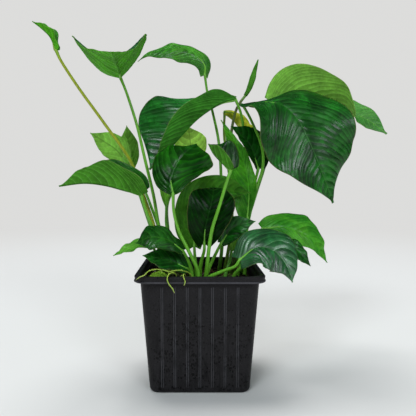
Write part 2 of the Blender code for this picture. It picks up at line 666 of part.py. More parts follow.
def cut_holes(target, cutter_sets, cutters):
    for group in cutter_sets:
        join_or_cut(target, group, "DIFFERENCE", cutters)


def copies(things, parts):
    return [new_object(thing.name + "_copy", thing.data.copy(), parts) for thing in things]


def build():
    clear_scene()
    parts = new_collection("potted_anubias")
    cutters = new_collection("cutters")
    pot_plastic = new_material("pot_plastic", (0.017, 0.017, 0.019), 0.5)
    soil_earth = new_material("soil_earth", (0.025, 0.017, 0.011), 0.95)
    stem_green = new_material("rootstock_green", (0.055, 0.090, 0.025), 0.6)
    moss_green = new_material("moss_green", (0.160, 0.350, 0.020), 0.9)
    root_green = new_material("air_root_green", (0.260, 0.400, 0.050), 0.5)
    build_pot(parts, cutters, pot_plastic)
    holes = []
    for number, leaf in enumerate(LEAVES):
        skin = new_material(leaf.name.replace("leaf", "skin"), leaf.tint, 0.35)
        holes.append(build_leaf(leaf, parts, cutters, skin, 1.7 * number))
    spear_skin = new_material("skin_spear", MID, 0.4)
    holes.append(build_spear(parts, spear_skin))
    rootstock = build_rootstock(parts, stem_green)
    bed = build_rootstock(parts, None, GAP)
    soil = build_soil(parts, soil_earth)
    beds = [build_moss(parts, None, GAP), *build_air_roots(parts, None, GAP)]
    build_moss(parts, moss_green)
    build_air_roots(parts, root_green)
    cut_holes(rootstock, [copies(holes, parts)], cutters)
    cut_holes(soil, [[bed], holes, beds], cutters)
    smooth_shaded(rootstock)


build()
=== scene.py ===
"""Looks of the potted anubias: veined leaves, nursery pot, soil, rootstock, moss and air roots.

Every place is in the frame's metres. The tables give millimetres and repeat the part's own values.
"""

import json
import math
import random
from collections import namedtuple

import bmesh
import bpy
import numpy as np
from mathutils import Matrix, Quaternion, Vector, noise

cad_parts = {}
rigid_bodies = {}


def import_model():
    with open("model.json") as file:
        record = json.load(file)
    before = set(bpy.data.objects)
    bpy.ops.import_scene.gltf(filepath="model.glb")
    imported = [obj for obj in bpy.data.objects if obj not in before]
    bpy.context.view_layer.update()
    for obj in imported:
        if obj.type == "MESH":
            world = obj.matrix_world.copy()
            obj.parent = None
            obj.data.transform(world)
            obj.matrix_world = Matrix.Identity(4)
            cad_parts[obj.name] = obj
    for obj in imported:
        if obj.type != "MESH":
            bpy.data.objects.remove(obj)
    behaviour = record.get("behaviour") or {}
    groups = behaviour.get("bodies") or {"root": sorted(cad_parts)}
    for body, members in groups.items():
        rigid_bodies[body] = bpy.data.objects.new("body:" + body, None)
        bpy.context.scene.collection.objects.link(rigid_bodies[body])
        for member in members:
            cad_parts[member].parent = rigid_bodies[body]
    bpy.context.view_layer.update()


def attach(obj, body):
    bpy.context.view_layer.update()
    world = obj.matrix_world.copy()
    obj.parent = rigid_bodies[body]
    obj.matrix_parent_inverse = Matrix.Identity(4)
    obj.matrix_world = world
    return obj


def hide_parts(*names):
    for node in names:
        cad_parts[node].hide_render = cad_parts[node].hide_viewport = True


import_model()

MM = 0.001

# The photograph's view: a level camera in front of the pot, in millimetres and pixels.
FRAME_PX = 416
FOCAL_PX = 468
CAMERA_AT = (-2.4, -435, 175)
SHIFT_PX = (11, -23)
SENSOR_MM = 36

# The studio: the pale backdrop, the room's own light, how the gloss sees the room, and the suns with
# the side each shines from, its strength, spread in degrees and colour, and whether the gloss sees it.
BACKDROP = (0.72, 0.72, 0.71)
PAPER = (0.66, 0.66, 0.65)
ROOM_LIGHT = (0.165, 0.175, 0.185)
ROOM_IN_GLOSS = (0.04, 0.05, 0.06)
WHITE = (1, 1, 1)
SKY = (0.88, 0.96, 1.0)
SUNS = (
    ("overhead", (-0.10, 0.25, 1.0), 2.4, 30, WHITE, False),
    ("window_left", (-0.28, -0.67, 0.66), 1.15, 20, SKY, True),
    ("window_right", (0.46, -0.74, 0.42), 0.8, 20, SKY, True),
    ("front", (0.05, -0.80, 0.60), 0.20, 40, WHITE, False),
)

# The pot, as in the part.
POT_HEIGHT = 100 * MM
LIP_HALF = 55 * MM
BODY_TOP_HALF = 50.2 * MM
BODY_TOP_HEIGHT = 93.5 * MM
FOOT_HALF = 42.7 * MM
FOOT_HEIGHT = 3 * MM
FOOT_ROUND = 3 * MM
FOOT_EDGE = 0.6 * MM
LIP_EDGE = 0.35 * MM
BEAD_DROP = 4 * MM
WALL = 1.2 * MM
FLOOR = 2 * MM
CORNER_RADIUS = 11 * MM
CORNER_TAPER = 0.4
CORNER_STEPS = 14
WALL_STEPS = 16
RIBS_A_SIDE = 7
RIB_PITCH = 10.45 * MM
RIB_HALF = 1.2 * MM
RIB_CREST = 0.8 * MM
RIB_DEPTH = 0.5 * MM
RIB_ENDS = (5 * MM, 91 * MM)
RIB_FADE = 0.5 * MM
RIB_STOPS = (-1.25 * RIB_HALF, -RIB_HALF, -RIB_CREST, -0.4 * RIB_CREST,
             0.4 * RIB_CREST, RIB_CREST, RIB_HALF, 1.25 * RIB_HALF)
# The rolled lip in section, from the body out, over the roll and back in: in from the lip's half
# width and down from the top, in millimetres.
LIP_SECTION = ((3.4, 4.0), (3.1, 1.4), (1.4, 1.4), (1.4, 5.2), (0.6, 5.8), (-0.3, 5.2), (-0.2, 4.2),
               (0.4, 3.6), (0, 0.9), (0.9, 0), (3.7, 0), (4.5, 0.7), (4.7, 4.2))
DRAIN_RADIUS = 4 * MM
DRAIN_SPOTS = ((26, 26), (26, 0), (26, -26), (0, 26), (0, -26), (-26, 26), (-26, 0), (-26, -26))

# The pot's greys: plain, grain, runs and drops of water, dust, and the painted highlights on the ribs' edges
# and on the lip's bead.
PLASTIC_DARK = (0.0086, 0.0080, 0.0088)
PLASTIC_LIGHT = (0.0140, 0.0130, 0.0142)
PLASTIC_GRAIN = (0.027, 0.0255, 0.028)
WATER_RUN = (0.0032, 0.0032, 0.0036)
WATER_DROP = (0.0008, 0.0008, 0.0010)
DUST = (0.075, 0.070, 0.068)
RIB_EDGE_HIGHLIGHT = (0.090, 0.090, 0.100)
LIP_BEAD_HIGHLIGHT = (0.092, 0.090, 0.102)

# The soil and what stands in it, as in the part, with the grain that is strewn on it.
SOIL_HEIGHT = 88.5 * MM
SOIL_LUMP = 1.6 * MM
SOIL_GAP = 0.5 * MM
SOIL_FOOT = (FOOT_HALF - 3.4 * MM, FLOOR + 0.3 * MM)
SOIL_KNEE = FOOT_HEIGHT + 2 * MM
SOIL_SHOULDER = 1.5 * MM
SOIL_RINGS = 44
# The lumps on its top: their size, the layer of noise they come from, and their height.
GRIT = ((3.1 * MM, 0.4, 0.8 * MM), (1.3 * MM, 0.9, 0.5 * MM))
CRUMBS = 620
CRUMB_SIZES = (0.6, 0.8, 1.0, 1.4, 2.0)
BIG_CRUMB = 1.1 * MM
PALE_GRAINS = 26
FIBRES = 46
FIBRE_RADIUS = 0.22 * MM
EARTH = ((0.010, 0.0065, 0.0042), (0.030, 0.019, 0.011))
EARTH_GRAIN = (0.060, 0.040, 0.024)
EARTH_MOIST = (0.006, 0.0045, 0.0035)
BARK = ((0.030, 0.016, 0.008), (0.115, 0.066, 0.032))
PALE_GRAIN = ((0.30, 0.28, 0.20), (0.62, 0.60, 0.50))
FOOT_DEPTH = 3.5 * MM
ROOTSTOCK_RADIUS = 6 * MM
ROOTSTOCK_END = 0.55
ROOTSTOCK = ((-39, 31, 82), (-30, 22, 84), (-20, 10, 84), (-8, -4, 84), (2, -16, 84), (12, -12, 84),
             (22, 1, 84), (31, 12, 84), (38, 24, 83))
SCAR_SPACING = 8.5 * MM
SCAR_SWELL = 0.12
SCAR_BROWN = (0.045, 0.028, 0.014)
STREAK_BROWN = (0.030, 0.020, 0.010)
ROOTSTOCK_GREENS = ((0.030, 0.050, 0.012), (0.085, 0.115, 0.030))
MOSS_CENTRE = (-35, -36, 90)
MOSS_RADII = (9.5, 7, 11)
MOSS_SHOOTS = 900
MOSS_GREENS = ((0.050, 0.150, 0.010), (0.130, 0.300, 0.018))
MOSS_TIP = (0.260, 0.480, 0.030)
ROOT_RADIUS = 0.65 * MM
ROOT_TAPER = 0.35
ROOT_GREENS = ((0.230, 0.360, 0.040), (0.380, 0.520, 0.080))
ROOT_TIP = (0.500, 0.560, 0.180)
SIDE_ROOT_RADIUS = 0.26 * MM
SIDE_ROOT_LEAN = ((-1, 1), (-0.6, 0.2), (-0.2, 0.8))
AIR_ROOTS = {
    "air_root_long": ((-5, -26, 87), (-6, -28, 93), (-9, -32, 99), (-14, -38, 102), (-19, -40, 103),
                      (-25, -43, 102.5), (-31, -45, 104), (-37, -47, 105), (-42, -52, 104.5),
                      (-45, -56, 102), (-49, -56.9, 100.4), (-52, -56.6, 98)),
    "air_root_middle": ((-20, -37, 86), (-19.5, -43, 97), (-21, -48, 102), (-25, -53, 102.5),
                        (-26.5, -56.8, 99), (-25, -57.3, 95), (-22, -57.2, 91), (-20.5, -57, 87.5)),
    "air_root_short": ((-11, -36, 86), (-11.5, -43, 97), (-13, -50, 101.6), (-13.5, -56, 101),
                       (-12, -57.4, 97), (-13, -57, 93.5)),
}

# Petioles, as in the part, with finer steps.
PETIOLE_FOOT_RADIUS = 1.8 * MM
PETIOLE_TOP_RADIUS = 1.25 * MM
PETIOLE_STEP = 2.5 * MM
PETIOLE_SIDES = 12
PETIOLE_RISE = 3 * MM
PETIOLE_TAIL = 0.22
LONG_PETIOLE = 60 * MM
JOINT_SWELL = 1.25
JOINT_REACH = 5 * MM
SHEATH_SWELL = 0.12
SHEATH_REACH = 16 * MM
JOINT_GREEN = (0.16, 0.42, 0.05)
FOOT_BROWN = (0.045, 0.075, 0.016)
FLECK_BROWN = (0.055, 0.085, 0.015)

# The blade's form: steps along the rib and round the curl, the tip's roundness, how its points
# crowd to the edge, and how far its sides and its lobes at the base sweep along it.
RIB_STEPS = 24
CURL_STEPS = 8
TIP_POWER = 1.15
TIP_SHARE = 0.03
EDGE_CROWDING = 1.12
SIDE_SWEEP = 0.28
LOBE_SWEEP = 0.55
PHASE_STEP = 1.7

# Blade detail: grid pitch, thickness, and the relief of its veins. The veins wander, the skin puckers
# and the edge crimps. A blade shorter than FULL_RELIEF_LENGTH has less of it all. OFF_BLADE is a
# distance from the midrib in mm that keeps its tint away.
CELL = 1.15 * MM
BLADE_THICK = 0.55 * MM
RIM_THICK = 0.35 * MM
MIDRIB_DEPTH = 1.2 * MM
MIDRIB_HALF = 1.2 * MM
GROOVE_DEPTH = 0.35 * MM
VEIN_PITCH = 8.0 * MM
VEIN_LEAN = 0.42
VEIN_BEND = 1.35
VEIN_DRIFT = 0.22
VEIN_DRIFT_SIZE = 11 * MM
VEIN_RISE = 0.16 * MM
VEIN_HALF = 0.16
PILLOW = 0.75 * MM
PUCKER = 0.35 * MM
PUCKER_SIZE = 7 * MM
CRIMP = 0.45 * MM
CRIMPS = 6
FULL_RELIEF_LENGTH = 80 * MM
OFF_BLADE = 9.0
UPPER_RIM = (0.120, 0.110, 0.030)
UNDER_RIM = (0.200, 0.250, 0.080)
SPECK_BROWN = (0.10, 0.075, 0.02)
GLOW_REACH = (0.6, 1.0, 0.3)
GLOW_DEPTH = 1.5 * MM

# A leaf's finish: the upper side's dark and light greens, the under side's and its veins', the
# petiole's, the upper side's roughness and gloss, and how dark and light its strips between the
# veins get.
Finish = namedtuple("Finish", "deep light under under_vein stalk rough gloss pleat")
DARK = Finish((0.0020, 0.034, 0.0030), (0.010, 0.120, 0.009), (0.040, 0.210, 0.018), (0.110, 0.360, 0.060),
              (0.150, 0.470, 0.030), 0.27, 0.30, (0.55, 1.60))
MID = Finish((0.0050, 0.075, 0.0050), (0.028, 0.200, 0.015), (0.062, 0.250, 0.018), (0.160, 0.440, 0.085),
             (0.150, 0.470, 0.030), 0.28, 0.26, (0.66, 1.45))
OLIVE = Finish((0.026, 0.140, 0.007), (0.065, 0.250, 0.014), (0.090, 0.220, 0.025), (0.160, 0.340, 0.050),
               (0.150, 0.470, 0.030), 0.38, 0.10, (0.80, 1.25))
BRIGHT = Finish((0.022, 0.190, 0.010), (0.075, 0.320, 0.020), (0.082, 0.410, 0.014), (0.180, 0.520, 0.055),
                (0.155, 0.480, 0.030), 0.34, 0.18, (0.80, 1.26))
# BACKLIT is painted light: its greens are made bright for the light that shines through these thin blades
# from behind.
BACKLIT = Finish((0.120, 0.370, 0.028), (0.200, 0.470, 0.050), (0.215, 0.520, 0.065), (0.310, 0.620, 0.130),
                 (0.130, 0.430, 0.040), 0.40, 0.12, (0.85, 1.18))
YELLOW = Finish((0.330, 0.400, 0.016), (0.520, 0.540, 0.030), (0.450, 0.500, 0.040), (0.620, 0.620, 0.080),
                (0.190, 0.360, 0.026), 0.38, 0.20, (0.85, 1.18))
# Leaves whose tints differ from those of their row. Some differences are the leaves' own colour. The darker
# tints of the leaves low in the middle are painted shade from the leaves above, and the bright under side of
# leaf_centre_backlit is painted light.
OWN_TINTS_AND_PAINTED_LIGHT = {
    "leaf_far_left_furled": BRIGHT._replace(stalk=(0.340, 0.420, 0.016)),
    "leaf_upper_left": BRIGHT._replace(deep=(0.004, 0.060, 0.008), light=(0.020, 0.130, 0.030), gloss=0.4),
    "leaf_top_arched": MID._replace(deep=(0.020, 0.150, 0.010), light=(0.070, 0.280, 0.026)),
    "leaf_centre_left_broad": DARK._replace(deep=(0.0045, 0.078, 0.0085), light=(0.024, 0.230, 0.030),
                                            gloss=0.55),
    "leaf_small_folded": MID._replace(deep=(0.0015, 0.026, 0.0020), light=(0.007, 0.070, 0.006), gloss=0.16),
    # Painted shade: darker greens for the shade that the leaves above cast on it.
    "leaf_centre_cupped": DARK._replace(deep=(0.0015, 0.030, 0.0014), light=(0.010, 0.105, 0.003),
                                        under=(0.020, 0.140, 0.010), gloss=0.13),
    # Painted shade: darker greens for the shade that the leaves above cast on it.
    "leaf_centre_dark": DARK._replace(deep=(0.0008, 0.010, 0.0009), light=(0.003, 0.030, 0.002),
                                      under=(0.012, 0.090, 0.006), gloss=0.06),
    # Painted shade: darker greens and a darker under side for the shade it lies in.
    "leaf_dark_folded": DARK._replace(deep=(0.0010, 0.020, 0.0012), light=(0.005, 0.065, 0.004),
                                      under=(0.020, 0.130, 0.010), gloss=0.12),
    # Painted shade: darker greens for the shade that the leaves above cast on it.
    "leaf_hanging_green": BRIGHT._replace(deep=(0.018, 0.140, 0.006), light=(0.058, 0.260, 0.012),
                                          gloss=0.10),
    # Painted shade: darker greens for the shade that the leaves above cast on it.
    "leaf_lower_left_glossy": MID._replace(deep=(0.0030, 0.040, 0.0035), light=(0.014, 0.100, 0.009),
                                           gloss=0.22),
    "leaf_left_thin_tip": BRIGHT._replace(deep=(0.060, 0.260, 0.016), light=(0.120, 0.350, 0.040)),
    "leaf_lower_right_glossy": DARK._replace(deep=(0.0030, 0.045, 0.0090), light=(0.016, 0.130, 0.030),
                                             rough=0.31, gloss=0.80),
    # Painted light: the under side is made near white-green for the light shining through the blade.
    "leaf_centre_backlit": BACKLIT._replace(under=(0.560, 0.980, 0.140), under_vein=(0.640, 0.980, 0.220)),
    "leaf_far_right_twisted": BACKLIT._replace(deep=(0.030, 0.170, 0.022), light=(0.080, 0.260, 0.050),
                                               gloss=0.3),
}

# foot, stem and rib: where the petiole stands, its route up to the blade and the blade's own, in mm.
# face: where the upper side looks, at the base, at even steps on and at the tip. half: half widths
# left and right, left being the viewer's left with the tip up and the upper side in view. fold and
# curl: degrees that each half rises from the flat and bends on towards its edge. ease: how far the
# fold has opened at the tip. base: the width at the base as a share. widest: where along the blade.
# wave: height in mm, number of waves.
Leaf = namedtuple("Leaf", "name finish foot stem rib face half fold curl ease base widest wave",
                  defaults=((10, 10), (0, 0), 0.2, 0.3, 0.38, (1.3, 3)))

LEAVES = (
    Leaf("leaf_far_left_furled", BRIGHT, (-33, 17),
         ((-39, 20, 115), (-46, 25, 139), (-55, 27, 164), (-68, 24, 199), (-92, 14, 235), (-112, 4, 264),
          (-127, -3, 288)),
         ((-132, -5, 299), (-137, -5, 311), (-145, -5, 319), (-154, -4, 326)),
         ((0.7, -0.1, 0.4), (0.5, -0.1, 0.8)), (6, 7), (68, 70), (12, 12)),
    Leaf("leaf_upper_left", BRIGHT, (-29, 23),
         ((-33, 24, 115), (-40, 24, 136), (-45, 23, 165), (-53, 22, 199), (-61, 22, 233), (-71, 24, 264)),
         ((-78, 27, 281), (-77, 10, 285), (-76, -14, 287), (-73, -46, 286)),
         ((0.0, 0.0, 1.0), (0.0, 0.0, 1.0)), (44, 53), (59, 20), (12, 48), 0.85, 0.9, 0.10, (2.2, 2)),
    Leaf("leaf_top_arched", MID, (20, 30),
         ((23, 34, 120), (23, 44, 160), (21, 56, 215), (15, 69, 251), (9, 71, 274)),
         ((6, 67, 293), (6, 66, 303), (-2, 65, 312), (-16, 62, 318), (-36, 57, 318), (-54, 56, 313),
          (-65, 57, 305)),
         ((0.3, -0.8, 0.4), (-0.2, -0.6, 0.75)), (13, 15), (-20, -20), (-10, -10), 0.0, 0.32, 0.42,
         (2.0, 3)),
    Leaf("leaf_centre_left_broad", DARK, (31, 20),
         ((38, 25, 112), (44, 31, 140), (49, 37, 170), (48, 44, 201), (46, 47, 228), (43, 47, 248)),
         ((37, 45, 263), (19, 40, 257), (-1, 32, 242), (-18, 30, 224), (-34, 29, 206), (-49, 26, 190)),
         ((0.0, -0.3, 0.95), (-0.1, -0.95, 0.3), (-0.1, -1.0, 0.1)), (23, 54), (108, 4), (45, -16), 0.15,
         0.22, 0.49, (2.6, 3)),
    Leaf("leaf_centre_cupped", DARK, (-1, -20),
         ((-2, -20, 100), (-10, -20, 117), (-18, -18, 133), (-23, -15, 150)),
         ((-24, -13, 167), (-26, -11, 180), (-22, -7, 192), (-13, -3, 205), (-3, 4, 214)),
         ((0.0, -0.7, 0.7), (-0.1, -0.7, 0.7)), (26, 36), (-5, 8), (-26, 25), 0.0, 0.05, 0.52, (2.4, 3)),
    Leaf("leaf_broad_right", DARK, (40, 19),
         ((47, 22, 136), (55, 28, 168), (63, 31, 192), (62, 33, 214), (52, 35, 240)),
         ((43, 34, 256), (62, 26, 257), (80, 16, 252), (95, 8, 234), (105, 3, 211), (115, 2, 185),
          (126, 6, 158)),
         ((0.1, -0.1, 1.0), (0.1, -1.0, 0.0), (0.5, -0.85, 0.1)), (50, 45), (4, 0), (-14, -12), 0.2, 0.10,
         0.40, (3.0, 4)),
    Leaf("leaf_far_right_twisted", BACKLIT, (34, 32),
         ((48, 42, 135), (60, 50, 170), (68, 55, 193), (76, 60, 222)),
         ((84, 62, 256), (107, 64, 261), (134, 65, 258), (158, 62, 252), (176, 56, 244), (194, 49, 228)),
         ((0.0, 0.3, 0.9), (0.2, -1.0, 0.25)), (41, 41), (15, 84), (10, 10), 1.15, 0.45, 0.22, (2.4, 3)),
    Leaf("leaf_left_folded", MID, (-30, 3),
         ((-34, 5, 110), (-41, 8, 125), (-46, 9, 138), (-51, 9, 151)),
         ((-55, 8, 166), (-69, 4, 170), (-87, 0, 175), (-107, -2, 177), (-130, -2, 174)),
         ((0.0, -0.75, 0.7), (0.0, 0.1, 1.0), (0.0, 0.1, 1.0)), (23, 26), (78, 60), (12, 15), 0.0, 0.35,
         0.27, (2.0, 3)),
    Leaf("leaf_small_folded", MID, (5, -23),
         ((6, -26, 100), (8, -29, 120), (11, -31, 138), (17, -32, 157), (23, -30, 177)),
         ((27, -28, 188), (20, -25, 194), (12, -21, 203), (8, -14, 212)),
         ((-0.2, -0.8, 0.5), (-0.2, -0.8, 0.5)), (12, 20), (115, 5), (15, 5), 0.0, 0.3, 0.35, (1.2, 2)),
    Leaf("leaf_centre_dark", DARK, (0, -13),
         ((1, -15, 104), (4, -20, 117)),
         ((4, -21, 123), (5, -25, 138), (9, -24, 154), (12, -16, 167), (12, -5, 173)),
         ((0.0, -0.95, 0.2), (0.0, -0.2, 0.9)), (21, 22), (14, 14), (10, 10), 0.0, 0.25, 0.50, (1.0, 3)),
    Leaf("leaf_centre_backlit", BACKLIT, (-24, 33),
         ((-28, 38, 112), (-32, 44, 130), (-33, 49, 155), (-24, 55, 175)),
         ((-10, 60, 193), (-9, 64, 212), (-10, 66, 225), (-12, 66, 238)),
         ((0.0, 0.9, 0.1), (0.0, 1.0, 0.1)), (18, 18), (10, 10), (10, 10), 0.0, 0.3, 0.55, (1.0, 2)),
    Leaf("leaf_olive_centre", OLIVE, (-3, -3),
         ((-4, -2, 104),),
         ((-5, -1, 118), (-5, 3, 138), (4, 7, 158), (23, 8, 169), (48, 4, 168)),
         ((0.0, -0.95, 0.2), (0.1, -0.9, 0.3)), (23, 18), (8, 8), (5, 5), 0.0, 0.3, 0.40, (1.8, 3)),
    Leaf("leaf_hanging_green", BRIGHT, (43, 11),
         ((45, 12, 122),),
         ((46, 14, 144), (48, 19, 170), (44, 27, 195), (35, 31, 218), (22, 38, 241)),
         ((0.0, -0.9, 0.1), (0.5, -0.8, 0.2)), (22, 8), (15, 15), (10, 10), 0.0, 0.3, 0.35, (1.8, 3)),
    Leaf("leaf_lower_dark", DARK, (6, -6),
         ((11, -5, 104),),
         ((20, -5, 122), (29, -5, 134), (39, -6, 139), (51, -8, 142)),
         ((0.1, -0.9, 0.4), (0.1, -0.9, 0.4)), (10, 11), (10, 10)),
    Leaf("leaf_dark_folded", DARK, (39, 26),
         ((46, 30, 125), (53, 38, 162)),
         ((60, 41, 192), (54, 42, 210), (45, 41, 223), (32, 40, 235)),
         ((0.2, -0.9, 0.2), (0.3, -0.9, 0.2)), (8, 19), (20, 12), (10, -10)),
    Leaf("leaf_yellowing", YELLOW, (25, 26),
         ((32, 36, 130), (34, 52, 180), (27, 64, 223)),
         ((27, 64, 253), (38, 61, 251), (49, 57, 240), (64, 50, 226)),
         ((0.1, -0.7, 0.6), (0.2, -0.7, 0.6)), (8, 9), (-20, -20)),
    Leaf("leaf_left_backlit_low", BACKLIT, (-37, 29),
         ((-41, 34, 112), (-50, 40, 134), (-64, 52, 170)),
         ((-76, 56, 197), (-86, 56, 211), (-100, 54, 221), (-113, 50, 229)),
         ((0.0, 0.9, 0.2), (0.0, 0.9, 0.3)), (14, 14), (10, 10)),
    Leaf("leaf_left_backlit_high", BACKLIT, (-30, 36),
         ((-35, 41, 112), (-43, 48, 134), (-58, 60, 170)),
         ((-72, 68, 195), (-76, 70, 213), (-77, 70, 226), (-78, 68, 239)),
         ((0.0, 0.9, 0.1), (0.0, 0.9, 0.1)), (11, 11), (10, 10)),
    Leaf("leaf_lower_left_glossy", MID, (-6, -14),
         ((-9, -14, 104),),
         ((-15, -14, 116), (-28, -18, 126), (-43, -20, 129), (-57, -18, 123)),
         ((0.1, -0.6, 0.8), (-0.1, -0.6, 0.8)), (12, 15), (-15, 5), (-20, -10), 0.2, 0.3, 0.62, (1.6, 3)),
    Leaf("leaf_left_thin_tip", MID, (-36, 12),
         ((-40, 11, 104),),
         ((-44, 11, 116), (-53, 10, 119), (-65, 7, 116), (-81, 3, 109)),
         ((0.0, -0.4, 0.9), (0.0, -0.4, 0.9)), (8, 8), (10, 10)),
    Leaf("leaf_low_dark", DARK, (-8, -7),
         (),
         ((-11, -9, 99), (-23, -11, 105), (-37, -11, 109), (-52, -9, 111)),
         ((0.0, -0.6, 0.8), (0.0, -0.6, 0.8)), (13, 14), (10, 10)),
    Leaf("leaf_lower_right_glossy", DARK, (7, -29),
         ((9, -32, 96), (21, -36, 102), (30, -38, 106)),
         ((34, -38, 112), (48, -38, 122), (63, -40, 119), (73, -43, 107), (77, -46, 94)),
         ((-0.1, -0.7, 0.7), (0.3, -0.9, 0.3)), (21, 19), (5, 5), (-15, -15), 0.2, 0.4, 0.42, (2.0, 3)),
    Leaf("leaf_right_bright", BRIGHT, (36, 7),
         ((42, 8, 104), (50, 8, 118)),
         ((59, 6, 134), (76, 2, 136), (91, 0, 132), (106, 1, 123), (120, 4, 102)),
         ((0.0, -0.7, 0.7), (0.4, -0.7, 0.6)), (21, 11), (5, -20), (-10, -10), 0.2, 0.35, 0.40, (1.8, 3)),
    Leaf("leaf_right_small_dark", DARK, (32, -3),
         ((39, -5, 99), (54, -7, 108)),
         ((72, -9, 125), (83, -12, 120), (91, -14, 113), (100, -14, 102)),
         ((0.0, -0.7, 0.7), (0.4, -0.8, 0.4)), (8, 9), (5, 5)),
    Leaf("leaf_young_right", BACKLIT, (24, -1),
         ((28, 2, 103),),
         ((30, 3, 114), (33, 3, 123), (36, 2, 131)),
         ((0.0, -0.9, 0.2), (0.0, -0.9, 0.2)), (5, 5), (30, 30), (0, 0), 0.2, 0.3, 0.5, (0.4, 2)),
    Leaf("leaf_young_left", BACKLIT, (-24, 27),
         ((-28, 29, 112), (-33, 33, 135)),
         ((-33, 35, 154), (-35, 37, 168), (-37, 38, 183)),
         ((0.0, -0.9, 0.2), (0.0, -0.9, 0.2)), (5, 5), (30, 30), (0, 0), 0.2, 0.3, 0.5, (0.4, 2)),
)

# The youngest leaf, still rolled into a spear: foot, petiole, then the roll.
SPEAR_FOOT = (31, 12)
SPEAR_STEM = ((34, 15, 108), (39, 23, 140), (41, 34, 175), (34, 46, 215), (33, 48, 228), (37, 51, 249),
              (42, 52, 260))
SPEAR_ROLL = ((48, 52, 268), (52, 52, 276), (55, 51, 285), (58, 51, 295), (61, 50, 305))
SPEAR_RADII = (1.7, 2.6, 2.8, 1.9, 0.5)
SPEAR_GRID = (40, 28)
SPEAR_STEP = 0.20
SPEAR_TAPER = 0.25
SPEAR_VEINS = 9
SPEAR_RED = (0.110, 0.160, 0.030)


def vectors(points):
    return [Vector(p) * MM for p in points]


def curve_through(points, count):
    """Evenly spaced points along a smooth curve through the given ones."""
    ends = [points[0] * 2 - points[1], *points, points[-1] * 2 - points[-2]]
    fine = []
    for a, b, c, d in zip(ends, ends[1:], ends[2:], ends[3:]):
        for i in range(12):
            t = i / 12
            fine.append(0.5 * (2 * b + (c - a) * t + (2 * a - 5 * b + 4 * c - d) * t * t
                               + (3 * b - a - 3 * c + d) * t ** 3))
    fine.append(points[-1].copy())
    reach = [0.0]
    for a, b in zip(fine, fine[1:]):
        reach.append(reach[-1] + (b - a).length)
    out = []
    at = 0
    for i in range(count + 1):
        want = reach[-1] * i / count
        while at < len(fine) - 2 and reach[at + 1] < want:
            at += 1
        out.append(fine[at].lerp(fine[at + 1], (want - reach[at]) / (reach[at + 1] - reach[at])))
    return out


def length_of(points):
    return sum((b - a).length for a, b in zip(points, points[1:]))


def frames_along(points, faces):
    """Direction, left and upper side at each point. The upper side is carried along the rib, and
    turned smoothly from each face to the next, the faces standing at even steps along it."""
    ahead = []
    for i in range(len(points)):
        a = points[max(i - 1, 0)]
        b = points[min(i + 1, len(points) - 1)]
        ahead.append((b - a).normalized())
    up = Vector(faces[0])
    up = (up - ahead[0] * up.dot(ahead[0])).normalized()
    ups = [up]
    for a, b in zip(ahead, ahead[1:]):
        up = a.rotation_difference(b) @ up
        ups.append((up - b * up.dot(b)).normalized())
    last = len(points) - 1
    spans = len(faces) - 1
    turns = []
    for k, face in enumerate(faces):
        at = round(k * last / spans)
        goal = Vector(face)
        goal = (goal - ahead[at] * goal.dot(ahead[at])).normalized()
        turns.append(math.atan2(ups[at].cross(goal).dot(ahead[at]), ups[at].dot(goal)))
    out = []
    for i, (t, u) in enumerate(zip(ahead, ups)):
        k = min(i * spans // last, spans - 1)
        share = i * spans / last - k
        share = share * share * (3 - 2 * share)
        u = Quaternion(t, turns[k] + (turns[k + 1] - turns[k]) * share) @ u
        out.append((t, u.cross(t), u))
    return out


# Meshes


class Shell:
    """Collects the points, faces, face slots and point attributes of one piece."""

    def __init__(self):
        self.points = []
        self.faces = []
        self.slots = []
        self.values = {}

    def add(self, points, faces, slot, **values):
        """points: an array of places. values: a number for each point, by attribute name."""
        first = len(self.points)
        points = np.asarray(points, dtype=float).reshape(-1, 3)
        for name, numbers in values.items():
            column = self.values.setdefault(name, [])
            column.extend([0.0] * (first - len(column)))
            column.extend(np.broadcast_to(np.asarray(numbers, dtype=float), len(points)).tolist())
        self.points.extend(points.tolist())
        self.faces.extend([[first + i for i in face] for face in faces])
        self.slots.extend([slot] * len(faces))

    def make(self, name, materials):
        mesh = bpy.data.meshes.new(name)
        mesh.from_pydata(self.points, [], self.faces)
        for material in materials:
            mesh.materials.append(material)
        mesh.polygons.foreach_set("material_index", self.slots)
        mesh.polygons.foreach_set("use_smooth", [True] * len(self.faces))
        for key, column in self.values.items():
            column.extend([0.0] * (len(self.points) - len(column)))
            layer = mesh.attributes.new(key, "FLOAT", "POINT")
            layer.data.foreach_set("value", column)
        bm = bmesh.new()
        bm.from_mesh(mesh)
        bmesh.ops.recalc_face_normals(bm, faces=bm.faces)
        bm.to_mesh(mesh)
        bm.free()
        made = bpy.data.objects.new(name, mesh)
        bpy.context.scene.collection.objects.link(made)
        return made


def grid_faces(rows, columns, closed=False):
    """Quads of a grid of points, row by row. closed joins each row's end to its start."""
    faces = []
    wide = columns if closed else columns + 1
    for i in range(rows):
        for k in range(columns):
            j = (k + 1) % wide
            faces.append((i * wide + k, i * wide + j, (i + 1) * wide + j, (i + 1) * wide + k))
    return faces


def tube_faces(rows, columns):
    """Quads between the rings of a tube, and a face over each of its ends."""
    faces = grid_faces(rows, columns, closed=True)
    faces.append(tuple(reversed(range(columns))))
    faces.append(tuple(rows * columns + k for k in range(columns)))
    return faces


def ball(subdivisions):
    """Points and faces of a ball of radius 1."""
    bm = bmesh.new()
    bmesh.ops.create_icosphere(bm, subdivisions=subdivisions, radius=1)
    points = [vert.co.copy() for vert in bm.verts]
    faces = [[vert.index for vert in face.verts] for face in bm.faces]
    bm.free()
    return points, faces


